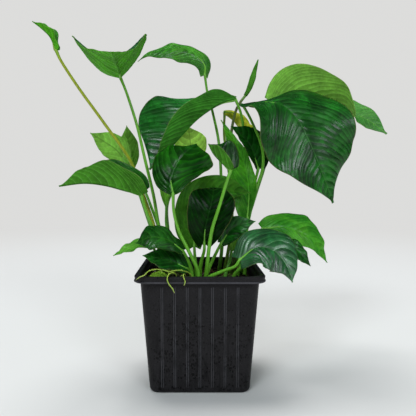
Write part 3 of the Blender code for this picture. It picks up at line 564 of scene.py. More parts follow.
def tube_rings(points, radii, sides, roughness=0.0):
    """Rings of a tube round the points, as an array, each turned as little as can be."""
    frames = frames_along(points, (points_side(points[0], points[1]), points_side(points[-2], points[-1])))
    rings = []
    for i, ((_, left, up), point, radius) in enumerate(zip(frames, points, radii)):
        ring = []
        for k in range(sides):
            angle = 2 * math.pi * k / sides
            out = left * math.cos(angle) + up * math.sin(angle)
            bump = 1.0
            if roughness:
                bump += roughness * noise.noise(point / (3 * MM) + out)
            ring.append(point + out * radius * bump)
        rings.append(ring)
    return np.array(rings)


def points_side(a, b):
    """Some direction across the line from a to b."""
    ahead = (b - a).normalized()
    return Vector((0, -1, 0)) if abs(ahead.y) < 0.9 else Vector((0, 0, 1))


def add_tube(shell, points, radii, sides, slot, roughness=0.0, **values):
    """A closed tube whose ends are small caps. values are given for each point of the line."""
    rings = tube_rings(points, radii, sides, roughness)
    spread = {key: np.repeat(np.asarray(v, dtype=float), sides) for key, v in values.items()}
    shell.add(rings, tube_faces(len(points) - 1, sides), slot, **spread)


# Materials


class Paint:
    """A Principled material, with short calls that add nodes in front of it."""

    def __init__(self, name, gloss):
        self.material = bpy.data.materials.new(name)
        self.material.use_nodes = True
        self.tree = self.material.node_tree
        self.shader = self.tree.nodes["Principled BSDF"]
        self.set("Specular IOR Level", gloss)

    def node(self, kind, inputs=(), **settings):
        made = self.tree.nodes.new(kind)
        for key, value in settings.items():
            setattr(made, key, value)
        for key, value in dict(inputs).items():
            self.feed(made.inputs[key], value)
        return made

    def feed(self, socket, value):
        if isinstance(value, bpy.types.NodeSocket):
            self.tree.links.new(value, socket)
        elif isinstance(value, tuple) and len(value) == 3 and socket.type == "RGBA":
            socket.default_value = (*value, 1)
        else:
            socket.default_value = value

    def set(self, key, value):
        self.feed(self.shader.inputs[key], value)

    def math(self, operation, a, b=0.0):
        return self.node("ShaderNodeMath", {0: a, 1: b}, operation=operation).outputs[0]

    def times(self, a, b):
        return self.math("MULTIPLY", a, b)

    def total(self, first, *others):
        """A sum of parts, each given with its weight."""
        result = self.times(*first)
        for part, weight in others:
            result = self.math("ADD", result, self.times(part, weight))
        return result

    def band(self, value, low, high, start=0.0, end=1.0):
        """value from low to high made into start to end, smoothly and clamped."""
        inputs = {"Value": value, "From Min": low, "From Max": high, "To Min": start, "To Max": end}
        return self.node("ShaderNodeMapRange", inputs, interpolation_type="SMOOTHSTEP").outputs["Result"]

    def attribute(self, name):
        return self.node("ShaderNodeAttribute", attribute_name=name).outputs["Fac"]

    def place(self, scale=(1, 1, 1)):
        where = self.node("ShaderNodeTexCoord").outputs["Object"]
        return self.node("ShaderNodeMapping", {"Vector": where, "Scale": scale}).outputs["Vector"]

    def noise(self, size, detail=3.0, rough=0.55, stretch=(1, 1, 1), twist=0.0):
        """Noise about size metres across, from 0 to 1."""
        inputs = {"Vector": self.place(stretch), "Scale": 1 / size, "Detail": detail, "Roughness": rough,
                  "Distortion": twist}
        return self.node("ShaderNodeTexNoise", inputs).outputs["Fac"]

    def patches(self, size, detail=3.0, rough=0.55, stretch=(1, 1, 1), start=0.0, end=1.0):
        """Noise drawn apart into patches, from start to end."""
        return self.band(self.noise(size, detail, rough, stretch), 0.3, 0.7, start, end)

    def cells(self, size, stretch=(1, 1, 1)):
        """A Voronoi pattern whose cells are about size metres across."""
        return self.node("ShaderNodeTexVoronoi", {"Vector": self.place(stretch), "Scale": 1 / size})

    def specks(self, size, core, rim, strength, stretch=(1, 1, 1)):
        """Round specks, full within the core, faded at the rim, both as shares of a cell."""
        return self.band(self.cells(size, stretch).outputs["Distance"], core, rim, strength, 0.0)

    def mix(self, share, a, b, blend="MIX"):
        made = self.node("ShaderNodeMix", data_type="RGBA", blend_type=blend)
        for socket, value in ((0, share), (6, a), (7, b)):
            self.feed(made.inputs[socket], value)
        return made.outputs[2]

    def tinted(self, colour, *layers):
        """The colour with others over it, each layer being a mask, the share of it and a colour."""
        for mask, share, other in layers:
            colour = self.mix(self.times(mask, share), colour, other)
        return colour

    def toned(self, colour, level):
        """The colour made darker or lighter by a level."""
        grey = self.node("ShaderNodeCombineColor", {0: level, 1: level, 2: level}).outputs[0]
        return self.mix(1.0, colour, grey, "MULTIPLY")

    def skin(self, colour, rough, relief=None, depth=0.0, strength=1.0):
        """The material with its colour, its roughness and its fine relief."""
        self.set("Base Color", colour)
        self.set("Roughness", rough)
        if relief is not None:
            bump = self.node("ShaderNodeBump", {"Height": relief, "Distance": depth, "Strength": strength})
            self.set("Normal", bump.outputs["Normal"])
        return self.material

    def let_light_through(self, weight):
        """Lets some light through a thin blade or shoot."""
        self.set("Subsurface Weight", weight)
        self.set("Subsurface Radius", GLOW_REACH)
        self.set("Subsurface Scale", GLOW_DEPTH)


def darker(colour, share):
    return tuple(share * c for c in colour)


def vein_lines(paint):
    """Masks of the lateral veins, the finer ones between them and the midrib, all from 0 to 1."""
    vein = paint.attribute("vein")
    lateral = paint.band(paint.math("PINGPONG", vein, 0.5), 0.01, 0.11, 1.0, 0.0)
    fine = paint.band(paint.math("PINGPONG", paint.times(vein, 5.0), 0.5), 0.05, 0.32, 1.0, 0.0)
    midrib = paint.band(paint.attribute("aside"), 0.30, 0.85, 1.0, 0.0)
    return lateral, fine, midrib


def pleated(paint, colour, low, high):
    """The colour toned strip by strip between the veins, and sloping across each strip."""
    vein = paint.attribute("vein")
    own = paint.node("ShaderNodeTexWhiteNoise", {"W": paint.math("FLOOR", vein)}, noise_dimensions="1D")
    slope = paint.math("POWER", paint.math("FRACT", vein), 1.6)
    level = paint.total((own.outputs["Value"], 0.4), (slope, 0.6))
    return paint.toned(colour, paint.band(level, 0.0, 1.0, low, high))


def upper_skin(name, finish):
    """The glossy upper side: deep green between the veins, lighter along them and in patches."""
    paint = Paint("upper_" + name, finish.gloss)
    paint.set("Coat Weight", 0.04)
    paint.set("Coat Roughness", 0.12)
    paint.let_light_through(0.10)
    lateral, fine, midrib = vein_lines(paint)
    patch = paint.band(paint.noise(22 * MM, 4.0, 0.6, twist=0.6), 0.34, 0.70)
    colour = paint.mix(patch, finish.deep, finish.light)
    colour = paint.toned(colour, paint.band(paint.noise(4 * MM), 0.28, 0.72, 0.80, 1.20))
    colour = pleated(paint, colour, *finish.pleat)
    vein_green = tuple(0.55 * a + 0.45 * b for a, b in zip(finish.light, finish.under))
    colour = paint.tinted(
        colour,
        (fine, 0.05, vein_green),
        (lateral, 0.34, vein_green),
        (midrib, 0.22, finish.under),
        (paint.band(paint.attribute("reach"), 0.975, 0.993), 0.55, UPPER_RIM),
        (paint.specks(9 * MM, 0.035, 0.075, 1.0), 0.35, SPECK_BROWN),
    )
    rough = paint.band(paint.noise(14 * MM, 2.0), 0.35, 0.65, finish.rough - 0.02, finish.rough + 0.16)
    relief = paint.total((lateral, -0.50), (fine, -0.05), (paint.noise(5 * MM, 2.0), 0.30))
    return paint.skin(colour, rough, relief, 0.20 * MM, 0.7)


def under_skin(name, finish):
    """The dull under side, lighter, with pale veins standing out of it."""
    paint = Paint("under_" + name, 0.03)
    paint.let_light_through(0.12)
    lateral, fine, midrib = vein_lines(paint)
    patch = paint.band(paint.noise(20 * MM, 4.0, 0.6), 0.32, 0.70)
    colour = paint.mix(patch, darker(finish.under, 0.62), finish.under)
    colour = paint.toned(colour, paint.band(paint.noise(3 * MM), 0.28, 0.72, 0.86, 1.14))
    colour = pleated(paint, colour, 0.80, 1.22)
    colour = paint.tinted(
        colour,
        (fine, 0.06, finish.under_vein),
        (lateral, 0.30, finish.under_vein),
        (midrib, 0.60, darker(finish.under, 0.40)),
        (paint.band(paint.attribute("reach"), 0.972, 0.992), 0.5, UNDER_RIM),
    )
    relief = paint.total((lateral, 0.5), (fine, 0.06), (paint.noise(1.3 * MM, 2.0), 0.20))
    return paint.skin(colour, paint.patches(5 * MM, start=0.46, end=0.60), relief, 0.25 * MM, 0.8)


def stalk_skin(name, finish):
    """A petiole: bright green, streaked lengthwise, browner at the foot and pale at the joint."""
    paint = Paint("stalk_" + name, 0.35)
    along = paint.attribute("along")
    streak = paint.patches(1.6 * MM, 3.0, 0.6, (1, 1, 0.12))
    colour = paint.mix(streak, darker(finish.stalk, 0.70), finish.stalk)
    colour = paint.mix(paint.band(along, 0.955, 0.985, 0.0, 0.5), colour, JOINT_GREEN)
    colour = paint.mix(paint.band(along, 0.0, 0.14, 0.55, 0.0), colour, FOOT_BROWN)
    colour = paint.mix(paint.specks(2.6 * MM, 0.07, 0.17, 0.35, (1, 1, 0.45)), colour, FLECK_BROWN)
    return paint.skin(colour, paint.band(streak, 0.0, 1.0, 0.33, 0.46), streak, 0.15 * MM, 0.6)


# Leaves


def width_share(s, base, widest):
    """Half width of an ovate blade as a share of its greatest, s running from base to tip."""
    low = base + (1 - base) * np.sin(np.pi / 2 * np.minimum(s / widest, 1))
    rest = np.clip(1 - (s - widest) / (1 - widest), 0, 1)
    high = np.sin(np.pi / 2 * rest) ** TIP_POWER
    return np.where(s < widest, low, np.maximum(high, TIP_SHARE))


def blade_sheet(leaf, rib, rows, columns, phase):
    """The blade's middle sheet as an array of points, with each point's reach, distance from the
    rib in mm and place along the rib, and the upper side's direction along the rib."""
    s = np.linspace(0, 1, rows + 1)[:, None]
    spread = np.linspace(1, -1, 2 * columns + 1)[None, :]
    q = np.sign(spread) * np.abs(spread) ** EDGE_CROWDING
    reach = np.abs(q)

    def pick(pair):
        return np.where(q > 0, pair[0], pair[1])

    width = pick(leaf.half) * MM * width_share(s, leaf.base, leaf.widest)
    opening = 1 - leaf.ease * s
    start = np.radians(pick(leaf.fold)) * opening
    bend = np.radians(pick(leaf.curl)) * opening
    across = np.zeros_like(width)
    rise = np.zeros_like(width)
    for i in range(CURL_STEPS):
        angle = start + bend * reach * (i + 0.5) / CURL_STEPS
        across += np.cos(angle) * reach / CURL_STEPS
        rise += np.sin(angle) * reach / CURL_STEPS
    height, count = leaf.wave
    side = np.where(q > 0, 0, 1)
    ripple = np.sin(2 * np.pi * count * s + phase + side) * height * MM * reach ** 2 * (1 - s * s)
    sweep = (SIDE_SWEEP * np.sin(np.pi * s) - LOBE_SWEEP * (1 - s) ** 5) * width * reach
    ahead, left, up = (np.array([f[i] for f in frames_along(rib, leaf.face)])[:, None, :] for i in range(3))
    sheet = (np.array(rib)[:, None, :] + left * (np.sign(q) * across * width)[..., None]
             + up * (rise * width + ripple)[..., None] + ahead * sweep[..., None])
    return sheet, np.broadcast_to(reach, width.shape), reach * width / MM, np.broadcast_to(s, width.shape), up


def sheet_normals(sheet, up):
    """Unit normals of a grid of points, on the side that up looks to."""
    along = np.gradient(sheet, axis=0)
    across = np.gradient(sheet, axis=1)
    normal = np.cross(along, across)
    normal /= np.maximum(np.linalg.norm(normal, axis=2, keepdims=True), 1e-12)
    middle = sheet.shape[1] // 2
    if (normal[:, middle] * up[:, 0]).sum() < 0:
        normal = -normal
    return normal


def unevenness(sheet, size):
    """Smooth noise at each point of a grid, its swells about size metres across."""
    return np.array([[noise.noise(Vector(p) / size) for p in line] for line in sheet])


def add_blade(shell, leaf, rib, phase):
    """The blade's upper and under side with their veins in relief, closed round the rim."""
    length = length_of(rib)
    rows = max(14, round(length / CELL))
    columns = max(6, round(max(leaf.half) * MM / CELL))
    line = curve_through(rib, rows)
    sheet, reach, aside, s, up = blade_sheet(leaf, line, rows, columns, phase)
    normal = sheet_normals(sheet, up)
    lean = VEIN_LEAN * reach ** VEIN_BEND
    vein = (s - lean) / (1 - lean) * max(4, round(length / VEIN_PITCH))
    vein = vein + VEIN_DRIFT * unevenness(sheet, VEIN_DRIFT_SIZE)
    size = min(1.0, length / FULL_RELIEF_LENGTH)
    fade = (1 - reach ** 5) * (1 - np.exp(-aside / 2.0)) * np.minimum(1, 8 * (1 - s))
    fade = fade * np.minimum(1, 0.3 + 5 * s)
    pillow = np.abs(np.sin(np.pi * vein)) ** 0.8
    pucker = unevenness(sheet, PUCKER_SIZE) * PUCKER * reach
    crimp = np.sin(2 * np.pi * CRIMPS * s + phase * 2.3) * CRIMP * reach ** 4 * np.minimum(1, 5 * (1 - s))
    relief = PILLOW * size * pillow * fade + pucker + crimp * size
    hollow = np.exp(-(aside * MM / MIDRIB_HALF) ** 2)
    upper = sheet + normal * (relief - GROOVE_DEPTH * hollow * (1 - 0.6 * s))[..., None]
    thick = RIM_THICK + (BLADE_THICK - RIM_THICK) * (1 - reach ** 3)
    ridge = MIDRIB_DEPTH * size * hollow * (1 - 0.8 * s)
    near = np.minimum(vein - np.floor(vein), np.ceil(vein) - vein)
    raised = VEIN_RISE * np.clip(1 - near / VEIN_HALF, 0, 1) * fade
    lower = sheet + normal * (relief * 0.9 - thick - ridge - raised)[..., None]
    masks = {"vein": vein, "reach": reach, "aside": aside, "along": s}
    masks = {key: np.tile(value.ravel(), 2) for key, value in masks.items()}
    both = np.concatenate([upper.reshape(-1, 3), lower.reshape(-1, 3)])
    first = len(shell.points)
    wide = 2 * columns
    row = wide + 1
    top = grid_faces(rows, wide)
    shift = (rows + 1) * row
    bottom = [tuple(i + shift for i in reversed(face)) for face in top]
    edge = list(range(row)) + [i * row + wide for i in range(1, rows + 1)]
    edge += [rows * row + k for k in range(wide - 1, -1, -1)] + [i * row for i in range(rows - 1, 0, -1)]
    rim = [(a, b, b + shift, a + shift) for a, b in zip(edge, edge[1:] + edge[:1])]
    shell.add(both, top, 0, **masks)
    shell.faces.extend([[first + i for i in face] for face in bottom + rim])
    shell.slots.extend([1] * (len(bottom) + len(rim)))
    return line, normal[:, columns]


def petiole_points(foot, stem, joint):
    """Points along a petiole from its foot to the blade."""
    start = Vector((foot[0], foot[1], (SOIL_HEIGHT - FOOT_DEPTH) / MM)) * MM
    above = Vector((foot[0], foot[1], (SOIL_HEIGHT + PETIOLE_RISE) / MM)) * MM
    route = [start, above, *vectors(stem), joint]
    return curve_through(route, max(6, round(length_of(route) / PETIOLE_STEP)))


def add_petiole(shell, leaf, line, under):
    """The stalk, swollen at the joint, running out along the under side of the midrib."""
    points = petiole_points(leaf.foot, leaf.stem, line[0])
    count = len(points) - 1
    length = length_of(points)
    places = [i / count for i in range(count + 1)]
    radii = []
    for share in places:
        radius = PETIOLE_FOOT_RADIUS + (PETIOLE_TOP_RADIUS - PETIOLE_FOOT_RADIUS) * share
        if length > LONG_PETIOLE:
            left = (1 - share) * length / JOINT_REACH
            radius *= 1 + (JOINT_SWELL - 1) * math.exp(-left * left)
        sheath = share * length / SHEATH_REACH
        radius *= 1 + SHEATH_SWELL * math.exp(-sheath * sheath)
        radii.append(radius)
    tail = max(3, round(len(line) * PETIOLE_TAIL))
    for i in range(1, tail + 1):
        share = i / tail
        radius = PETIOLE_TOP_RADIUS * (1.1 - 0.75 * share)
        points.append(line[i] - Vector(under[i]) * radius * 0.75)
        radii.append(radius)
        places.append(1.0)
    add_tube(shell, points, radii, PETIOLE_SIDES, 2, 0.05, along=places, aside=[OFF_BLADE] * len(points))


def make_leaf(leaf, number):
    shell = Shell()
    line, upward = add_blade(shell, leaf, curve_through(vectors(leaf.rib), RIB_STEPS), PHASE_STEP * number)
    add_petiole(shell, leaf, line, upward)
    short = leaf.name.replace("leaf_", "")
    finish = OWN_TINTS_AND_PAINTED_LIGHT.get(leaf.name, leaf.finish)
    skins = [upper_skin(short, finish), under_skin(short, finish), stalk_skin(short, finish)]
    settle(shell.make("anubias_" + leaf.name, skins), leaf.name)


def make_spear():
    """The youngest leaf, rolled, with its free edge winding round the roll."""
    rows, sides = SPEAR_GRID
    along = np.linspace(0, 1, rows + 1)
    roll = curve_through(vectors(SPEAR_ROLL), rows)
    radii = np.interp(along, np.linspace(0, 1, len(SPEAR_RADII)), SPEAR_RADII) * MM
    shell = Shell()
    line = petiole_points(SPEAR_FOOT, SPEAR_STEM, roll[0])
    places = [i / (len(line) - 1) for i in range(len(line))]
    stalk_radii = [PETIOLE_FOOT_RADIUS * (1 - SPEAR_TAPER * share) for share in places]
    add_tube(shell, line, stalk_radii, PETIOLE_SIDES, 1, 0.04, along=places, aside=[OFF_BLADE] * len(line))
    rings = tube_rings(roll, radii, sides)
    for i in range(rows + 1):
        for k in range(sides):
            turn = (k / sides + 0.9 * i / rows) % 1
            rings[i, k] += (rings[i, k] - np.array(roll[i])) * SPEAR_STEP * turn
    lanes = np.tile(np.arange(sides) / sides * SPEAR_VEINS, rows + 1)
    shell.add(rings, tube_faces(rows, sides), 0, vein=lanes, aside=OFF_BLADE, reach=0.5,
              along=np.repeat(along, sides))
    skins = [under_skin("spear", MID), stalk_skin("spear", MID._replace(stalk=SPEAR_RED))]
    settle(shell.make("anubias_leaf_spear", skins), "leaf_spear")


def settle(made, node):
    """The piece stands for the node, whose part it hides, and hangs from the root body."""
    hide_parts(node)
    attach(made, "root")


# Pot


def wall_half(height):
    """Half width of the pot's outside at a height between foot and lip."""
    share = (height - FOOT_HEIGHT) / (BODY_TOP_HEIGHT - FOOT_HEIGHT)
    return FOOT_HALF + (BODY_TOP_HALF - FOOT_HALF) * share


def corner_radius(half):
    return CORNER_RADIUS + (half - BODY_TOP_HALF) * CORNER_TAPER


def rounded(profile, radius, steps=4):
    """A profile with each of its corners turned in a small arc."""
    out = [Vector(profile[0])]
    for a, b, c in zip(profile, profile[1:], profile[2:]):
        a, b, c = Vector(a), Vector(b), Vector(c)
        back, on = a - b, c - b
        cut = min(radius, 0.45 * back.length, 0.45 * on.length)
        start, end = b + back.normalized() * cut, b + on.normalized() * cut
        for i in range(steps + 1):
            t = i / steps
            out.append(start * (1 - t) ** 2 + b * 2 * t * (1 - t) + end * t * t)
    out.append(Vector(profile[-1]))
    return out


def pot_outline(half, z, outside):
    """Points round the pot at one level, with how much each stands on a rib's edge."""
    radius = corner_radius(half)
    low, high = RIB_ENDS
    upright = max(0.0, min(1.0, (z - low) / RIB_FADE, (high - z) / RIB_FADE)) if outside else 0.0
    flat = half - radius
    stops = [-flat]
    for i in range(RIBS_A_SIDE):
        middle = (i - (RIBS_A_SIDE - 1) / 2) * RIB_PITCH
        stops.extend(middle + shift for shift in RIB_STOPS)
        if i < RIBS_A_SIDE - 1:
            stops.append(middle + RIB_PITCH * 0.5)
    stops.append(flat)
    points = []
    edges = []
    for side in range(4):
        turn = math.radians(90 * side)
        ahead = Vector((math.cos(turn), math.sin(turn)))
        out = Vector((math.sin(turn), -math.cos(turn)))
        for across in stops:
            nearest = abs((across / RIB_PITCH + 0.5) % 1 - 0.5) * RIB_PITCH
            inside = abs(across) < (RIBS_A_SIDE / 2) * RIB_PITCH
            crest = min(1.0, max(0.0, (RIB_HALF - nearest) / (RIB_HALF - RIB_CREST))) if inside else 0.0
            place = ahead * across + out * (half + crest * RIB_DEPTH * upright)
            points.append((place.x, place.y, z))
            edges.append(upright * (1.0 if inside and abs(nearest - RIB_CREST) < 0.1 * MM else 0.0))
        centre = ahead * flat + out * flat
        for step in range(1, CORNER_STEPS):
            angle = math.radians(90 * step / CORNER_STEPS)
            place = centre + (out * math.cos(angle) + ahead * math.sin(angle)) * radius
            points.append((place.x, place.y, z))
            edges.append(0.0)
    return points, edges


def pot_profile():
    """The pot's section as half widths and heights, from the foot up the outside, over the lip and
    down the inside, and how many of its points are outside."""
    low, high = RIB_ENDS
    levels = [low - 0.3 * MM, low, low + 0.3 * MM, low + 0.7 * MM]
    levels += [low + (high - low) * (i + 1) / WALL_STEPS for i in range(WALL_STEPS - 1)]
    levels += [high - 0.7 * MM, high - 0.3 * MM, high, high + 0.3 * MM]
    body = [Vector((wall_half(z), z)) for z in levels]
    foot = [(FOOT_HALF - FOOT_ROUND, 0), (FOOT_HALF - FOOT_ROUND / 3, FOOT_ROUND / 4)]
    foot.append((FOOT_HALF, FOOT_HEIGHT))
    lip = [
        (BODY_TOP_HALF, BODY_TOP_HEIGHT),
        *[(LIP_HALF - inset * MM, POT_HEIGHT - drop * MM) for inset, drop in LIP_SECTION],
        (BODY_TOP_HALF - WALL, BODY_TOP_HEIGHT),
        (FOOT_HALF - WALL, FOOT_HEIGHT + WALL),
        (FOOT_HALF - FOOT_ROUND, FLOOR),
    ]
    outside = rounded([*foot, body[0]], FOOT_EDGE)[:-1] + body
    return outside + rounded([body[-1], *lip], LIP_EDGE)[1:], len(outside)


def make_pot():
    """The pot, ring by ring, with marks for the painted highlights on its ribs' edges and its rolled lip."""
    rings, edges, beads = [], [], []
    profile, outside = pot_profile()
    for number, (half, z) in enumerate(profile):
        points, edge = pot_outline(half, z, number < outside)
        rings.append(points)
        edges.append(edge)
        bead = 1.0 if half > LIP_HALF and z < POT_HEIGHT - BEAD_DROP else 0.0
        beads.append([bead] * len(points))
    shell = Shell()
    shell.add(rings, tube_faces(len(rings) - 1, len(rings[0])), 0, edge=np.ravel(edges), bead=np.ravel(beads))
    pot = shell.make("nursery_pot", [pot_plastic()])
    cut_drains(pot)
    pot.data.shade_smooth()
    pot.data.set_sharp_from_angle(angle=math.radians(40))
    settle(pot, "pot")


def cut_drains(pot):
    """Cuts the drain holes out of the pot's floor."""
    cutters = bpy.data.collections.new("cutters")
    bpy.context.scene.collection.children.link(cutters)
    for x, y in DRAIN_SPOTS:
        bm = bmesh.new()
        bmesh.ops.create_cone(bm, cap_ends=True, segments=32, radius1=DRAIN_RADIUS, radius2=DRAIN_RADIUS,
                              depth=4 * FLOOR)
        mesh = bpy.data.meshes.new("drain")
        bm.to_mesh(mesh)
        bm.free()
        hole = bpy.data.objects.new("drain", mesh)
        hole.location = (x * MM, y * MM, 0)
        cutters.objects.link(hole)
    step = pot.modifiers.new("drains", "BOOLEAN")
    step.operation = "DIFFERENCE"
    step.solver = "MANIFOLD"
    step.operand_type = "COLLECTION"
    step.collection = cutters
    graph = bpy.context.evaluated_depsgraph_get()
    graph.update()
    mesh = bpy.data.meshes.new_from_object(pot.evaluated_get(graph))
    pot.modifiers.clear()
    pot.data = mesh
    for hole in list(cutters.objects):
        bpy.data.objects.remove(hole, do_unlink=True)
    bpy.data.collections.remove(cutters)


def pot_plastic():
    """Charcoal plastic with painted highlights along its ribs' edges and its lip's bead, and splashes and
    runs of water on its lower half.
    """
    paint = Paint("pot_plastic", 0.12)
    height = paint.node("ShaderNodeSeparateXYZ", {0: paint.place()}).outputs[2]
    grain = paint.noise(1.2 * MM, 4.0, 0.65)
    cloud = paint.patches(22 * MM, 4.0, 0.6)
    runs = paint.band(paint.noise(3.2 * MM, 4.0, 0.65, (1, 1, 0.09)), 0.50, 0.68)
    runs = paint.times(runs, paint.band(height, 20 * MM, 78 * MM, 1.0, 0.0))
    drop = paint.cells(5.5 * MM, (1, 1, 0.8))
    size = paint.node("ShaderNodeSeparateColor", {0: drop.outputs["Color"]}).outputs[0]
    size = paint.band(size, 0.35, 1.0, 0.0, 0.26)
    size = paint.times(size, paint.band(height, 30 * MM, 92 * MM, 1.0, 0.25))
    wet = paint.band(paint.math("SUBTRACT", size, drop.outputs["Distance"]), -0.02, 0.05)
    few = paint.band(paint.noise(7 * MM), 0.38, 0.58, 0.0, 0.42)
    few = paint.times(few, paint.band(height, 55 * MM, 90 * MM, 1.0, 0.45))
    dots = paint.math("SUBTRACT", few, paint.cells(1.9 * MM, (1, 1, 0.75)).outputs["Distance"])
    wet = paint.math("MAXIMUM", wet, paint.band(dots, -0.06, 0.06))
    # Painted highlight: the ribs' edges are greyed lighter where light would catch them.
    rib_edge_highlight_mask = paint.times(paint.attribute("edge"), paint.band(paint.noise(9 * MM), 0.30, 0.62, 0.35, 1.0))
    # Painted highlight: the lip's bead is greyed lighter where light would catch its lower edge.
    bead_highlight_share = paint.band(paint.noise(26 * MM, 3.0, 0.6, (1, 1, 0.5)), 0.35, 0.65, 0.20, 0.62)
    colour = paint.mix(cloud, PLASTIC_DARK, PLASTIC_LIGHT)
    colour = paint.mix(paint.band(grain, 0.42, 0.72, 0.0, 0.5), colour, PLASTIC_GRAIN)
    colour = paint.tinted(
        colour,
        (runs, 0.85, WATER_RUN),
        (wet, 0.9, WATER_DROP),
        (paint.band(paint.noise(0.9 * MM, 2.0), 0.66, 0.74), 0.35, DUST),
        (rib_edge_highlight_mask, 0.80, RIB_EDGE_HIGHLIGHT),
        (paint.attribute("bead"), bead_highlight_share, LIP_BEAD_HIGHLIGHT),
    )
    rough = paint.math("SUBTRACT", paint.band(cloud, 0.0, 1.0, 0.44, 0.56), paint.times(wet, 0.22))
    return paint.skin(colour, rough, paint.total((grain, 0.5), (wet, 0.6)), 0.12 * MM, 0.7)


# Soil, rootstock, moss and roots


def soil_top(x, y, edge):
    """Height of the lumpy soil, level with the wall's inside at the edge."""
    inward = min(1.0, (edge - max(abs(x), abs(y))) / (8 * MM))
    lump = noise.noise(Vector((x, y, 0)) / (9 * MM)) * SOIL_LUMP
    return SOIL_HEIGHT + lump * max(inward, 0.2)


def add_crumb(shell, centre, size, dice, slot):
    """One grain: an uneven small ball, flattened and turned."""
    round_points, faces = ball(2 if size > BIG_CRUMB else 1)
    spin = Quaternion([dice.uniform(-1, 1) for _ in range(4)]).normalized()
    squash = Vector((dice.uniform(0.7, 1.5), dice.uniform(0.6, 1.1), dice.uniform(0.4, 0.9))) * size
    seed = Vector((dice.random(), dice.random(), dice.random())) * 40
    points = []
    for point in round_points:
        bump = 1 + 0.45 * noise.noise(point * 1.4 + seed)
        points.append(centre + spin @ Vector([a * b * bump for a, b in zip(point, squash)]))
    shell.add(points, faces, slot)


def soil_rings(edge):
    """Rings of points from the lump's foot up its side and in over its uneven top."""
    knee = (wall_half(SOIL_KNEE) - WALL - SOIL_GAP, SOIL_KNEE)
    levels = (SOIL_FOOT, knee, (edge, SOIL_HEIGHT - SOIL_SHOULDER))
    rings = [pot_outline(half, z, False)[0] for half, z in levels]
    for step in range(SOIL_RINGS):
        share = 1 - step / SOIL_RINGS
        ring = []
        for x, y, _ in pot_outline(edge, 0, False)[0]:
            x, y = x * share, y * share
            z = soil_top(x, y, edge)
            if step:
                for size, layer, height in GRIT:
                    z += noise.noise(Vector((x, y, layer)) / size) * height
            ring.append((x, y, z))
        rings.append(ring)
    return rings


def strew(shell, edge):
    """Crumbs, bark, a few pale grains and fibres lying on the soil."""
    dice = random.Random(11)

    def spot(margin):
        return [dice.uniform(-1, 1) * (edge - margin) for _ in range(2)]

    for _ in range(CRUMBS):
        x, y = spot(2 * MM)
        size = dice.choice(CRUMB_SIZES) * MM * dice.uniform(0.8, 1.2)
        z = soil_top(x, y, edge) + 0.3 * size
        add_crumb(shell, Vector((x, y, z)), size, dice, 0 if dice.random() < 0.8 else 1)
    for _ in range(PALE_GRAINS):
        x, y = spot(3 * MM)
        add_crumb(shell, Vector((x, y, soil_top(x, y, edge) + 0.5 * MM)), 0.9 * MM, dice, 2)
    for _ in range(FIBRES):
        x, y = spot(6 * MM)
        heading = dice.uniform(0, 2 * math.pi)
        line = []
        for k in range(6):
            line.append(Vector((x, y, soil_top(x, y, edge) + (0.8 + 0.9 * math.sin(k * 0.9)) * MM)))
            heading += dice.uniform(-0.5, 0.5)
            x += math.cos(heading) * 1.8 * MM
            y += math.sin(heading) * 1.8 * MM
        add_tube(shell, curve_through(line, 14), [FIBRE_RADIUS] * 15, 6, 1)


def make_soil():
    """The soil's lumpy top with its crumbs, bark, fibres and pale grains."""
    edge = wall_half(SOIL_HEIGHT) - WALL - SOIL_GAP
    rings = soil_rings(edge)
    shell = Shell()
    shell.add(rings, tube_faces(len(rings) - 1, len(rings[0])), 0)
    strew(shell, edge)
    bark = grained("soil_bark", 0.2, (1.2 * MM, 4.0, 0.7, (1, 0.3, 1)), *BARK, 0.70, 0.4 * MM)
    pale = grained("soil_pale_grain", 0.3, (0.5 * MM, 3.0, 0.7), *PALE_GRAIN, 0.75, 0.3 * MM)
    settle(shell.make("potting_soil", [soil_earth(), bark, pale]), "soil")


def soil_earth():
    """Brown peat, darker and smoother where it is moist."""
    paint = Paint("soil_earth", 0.18)
    grain = paint.noise(1 * MM, 4.0, 0.7)
    colour = paint.mix(paint.patches(7 * MM, 4.0, 0.65), *EARTH)
    colour = paint.mix(paint.band(grain, 0.5, 0.75, 0.0, 0.7), colour, EARTH_GRAIN)
    moist = paint.band(paint.noise(12 * MM), 0.35, 0.6)
    colour = paint.tinted(colour, (moist, 0.4, EARTH_MOIST))
    return paint.skin(colour, paint.band(moist, 0.0, 1.0, 0.95, 0.62), grain, 0.6 * MM, 0.9)


def grained(name, gloss, texture, dark, light, smooth, depth):
    """A skin whose colour, dullness and relief all follow one grain."""
    paint = Paint(name, gloss)
    grain = paint.noise(*texture)
    colour = paint.mix(paint.band(grain, 0.3, 0.7), dark, light)
    return paint.skin(colour, paint.band(grain, 0.3, 0.7, 0.9, smooth), grain, depth, 0.8)


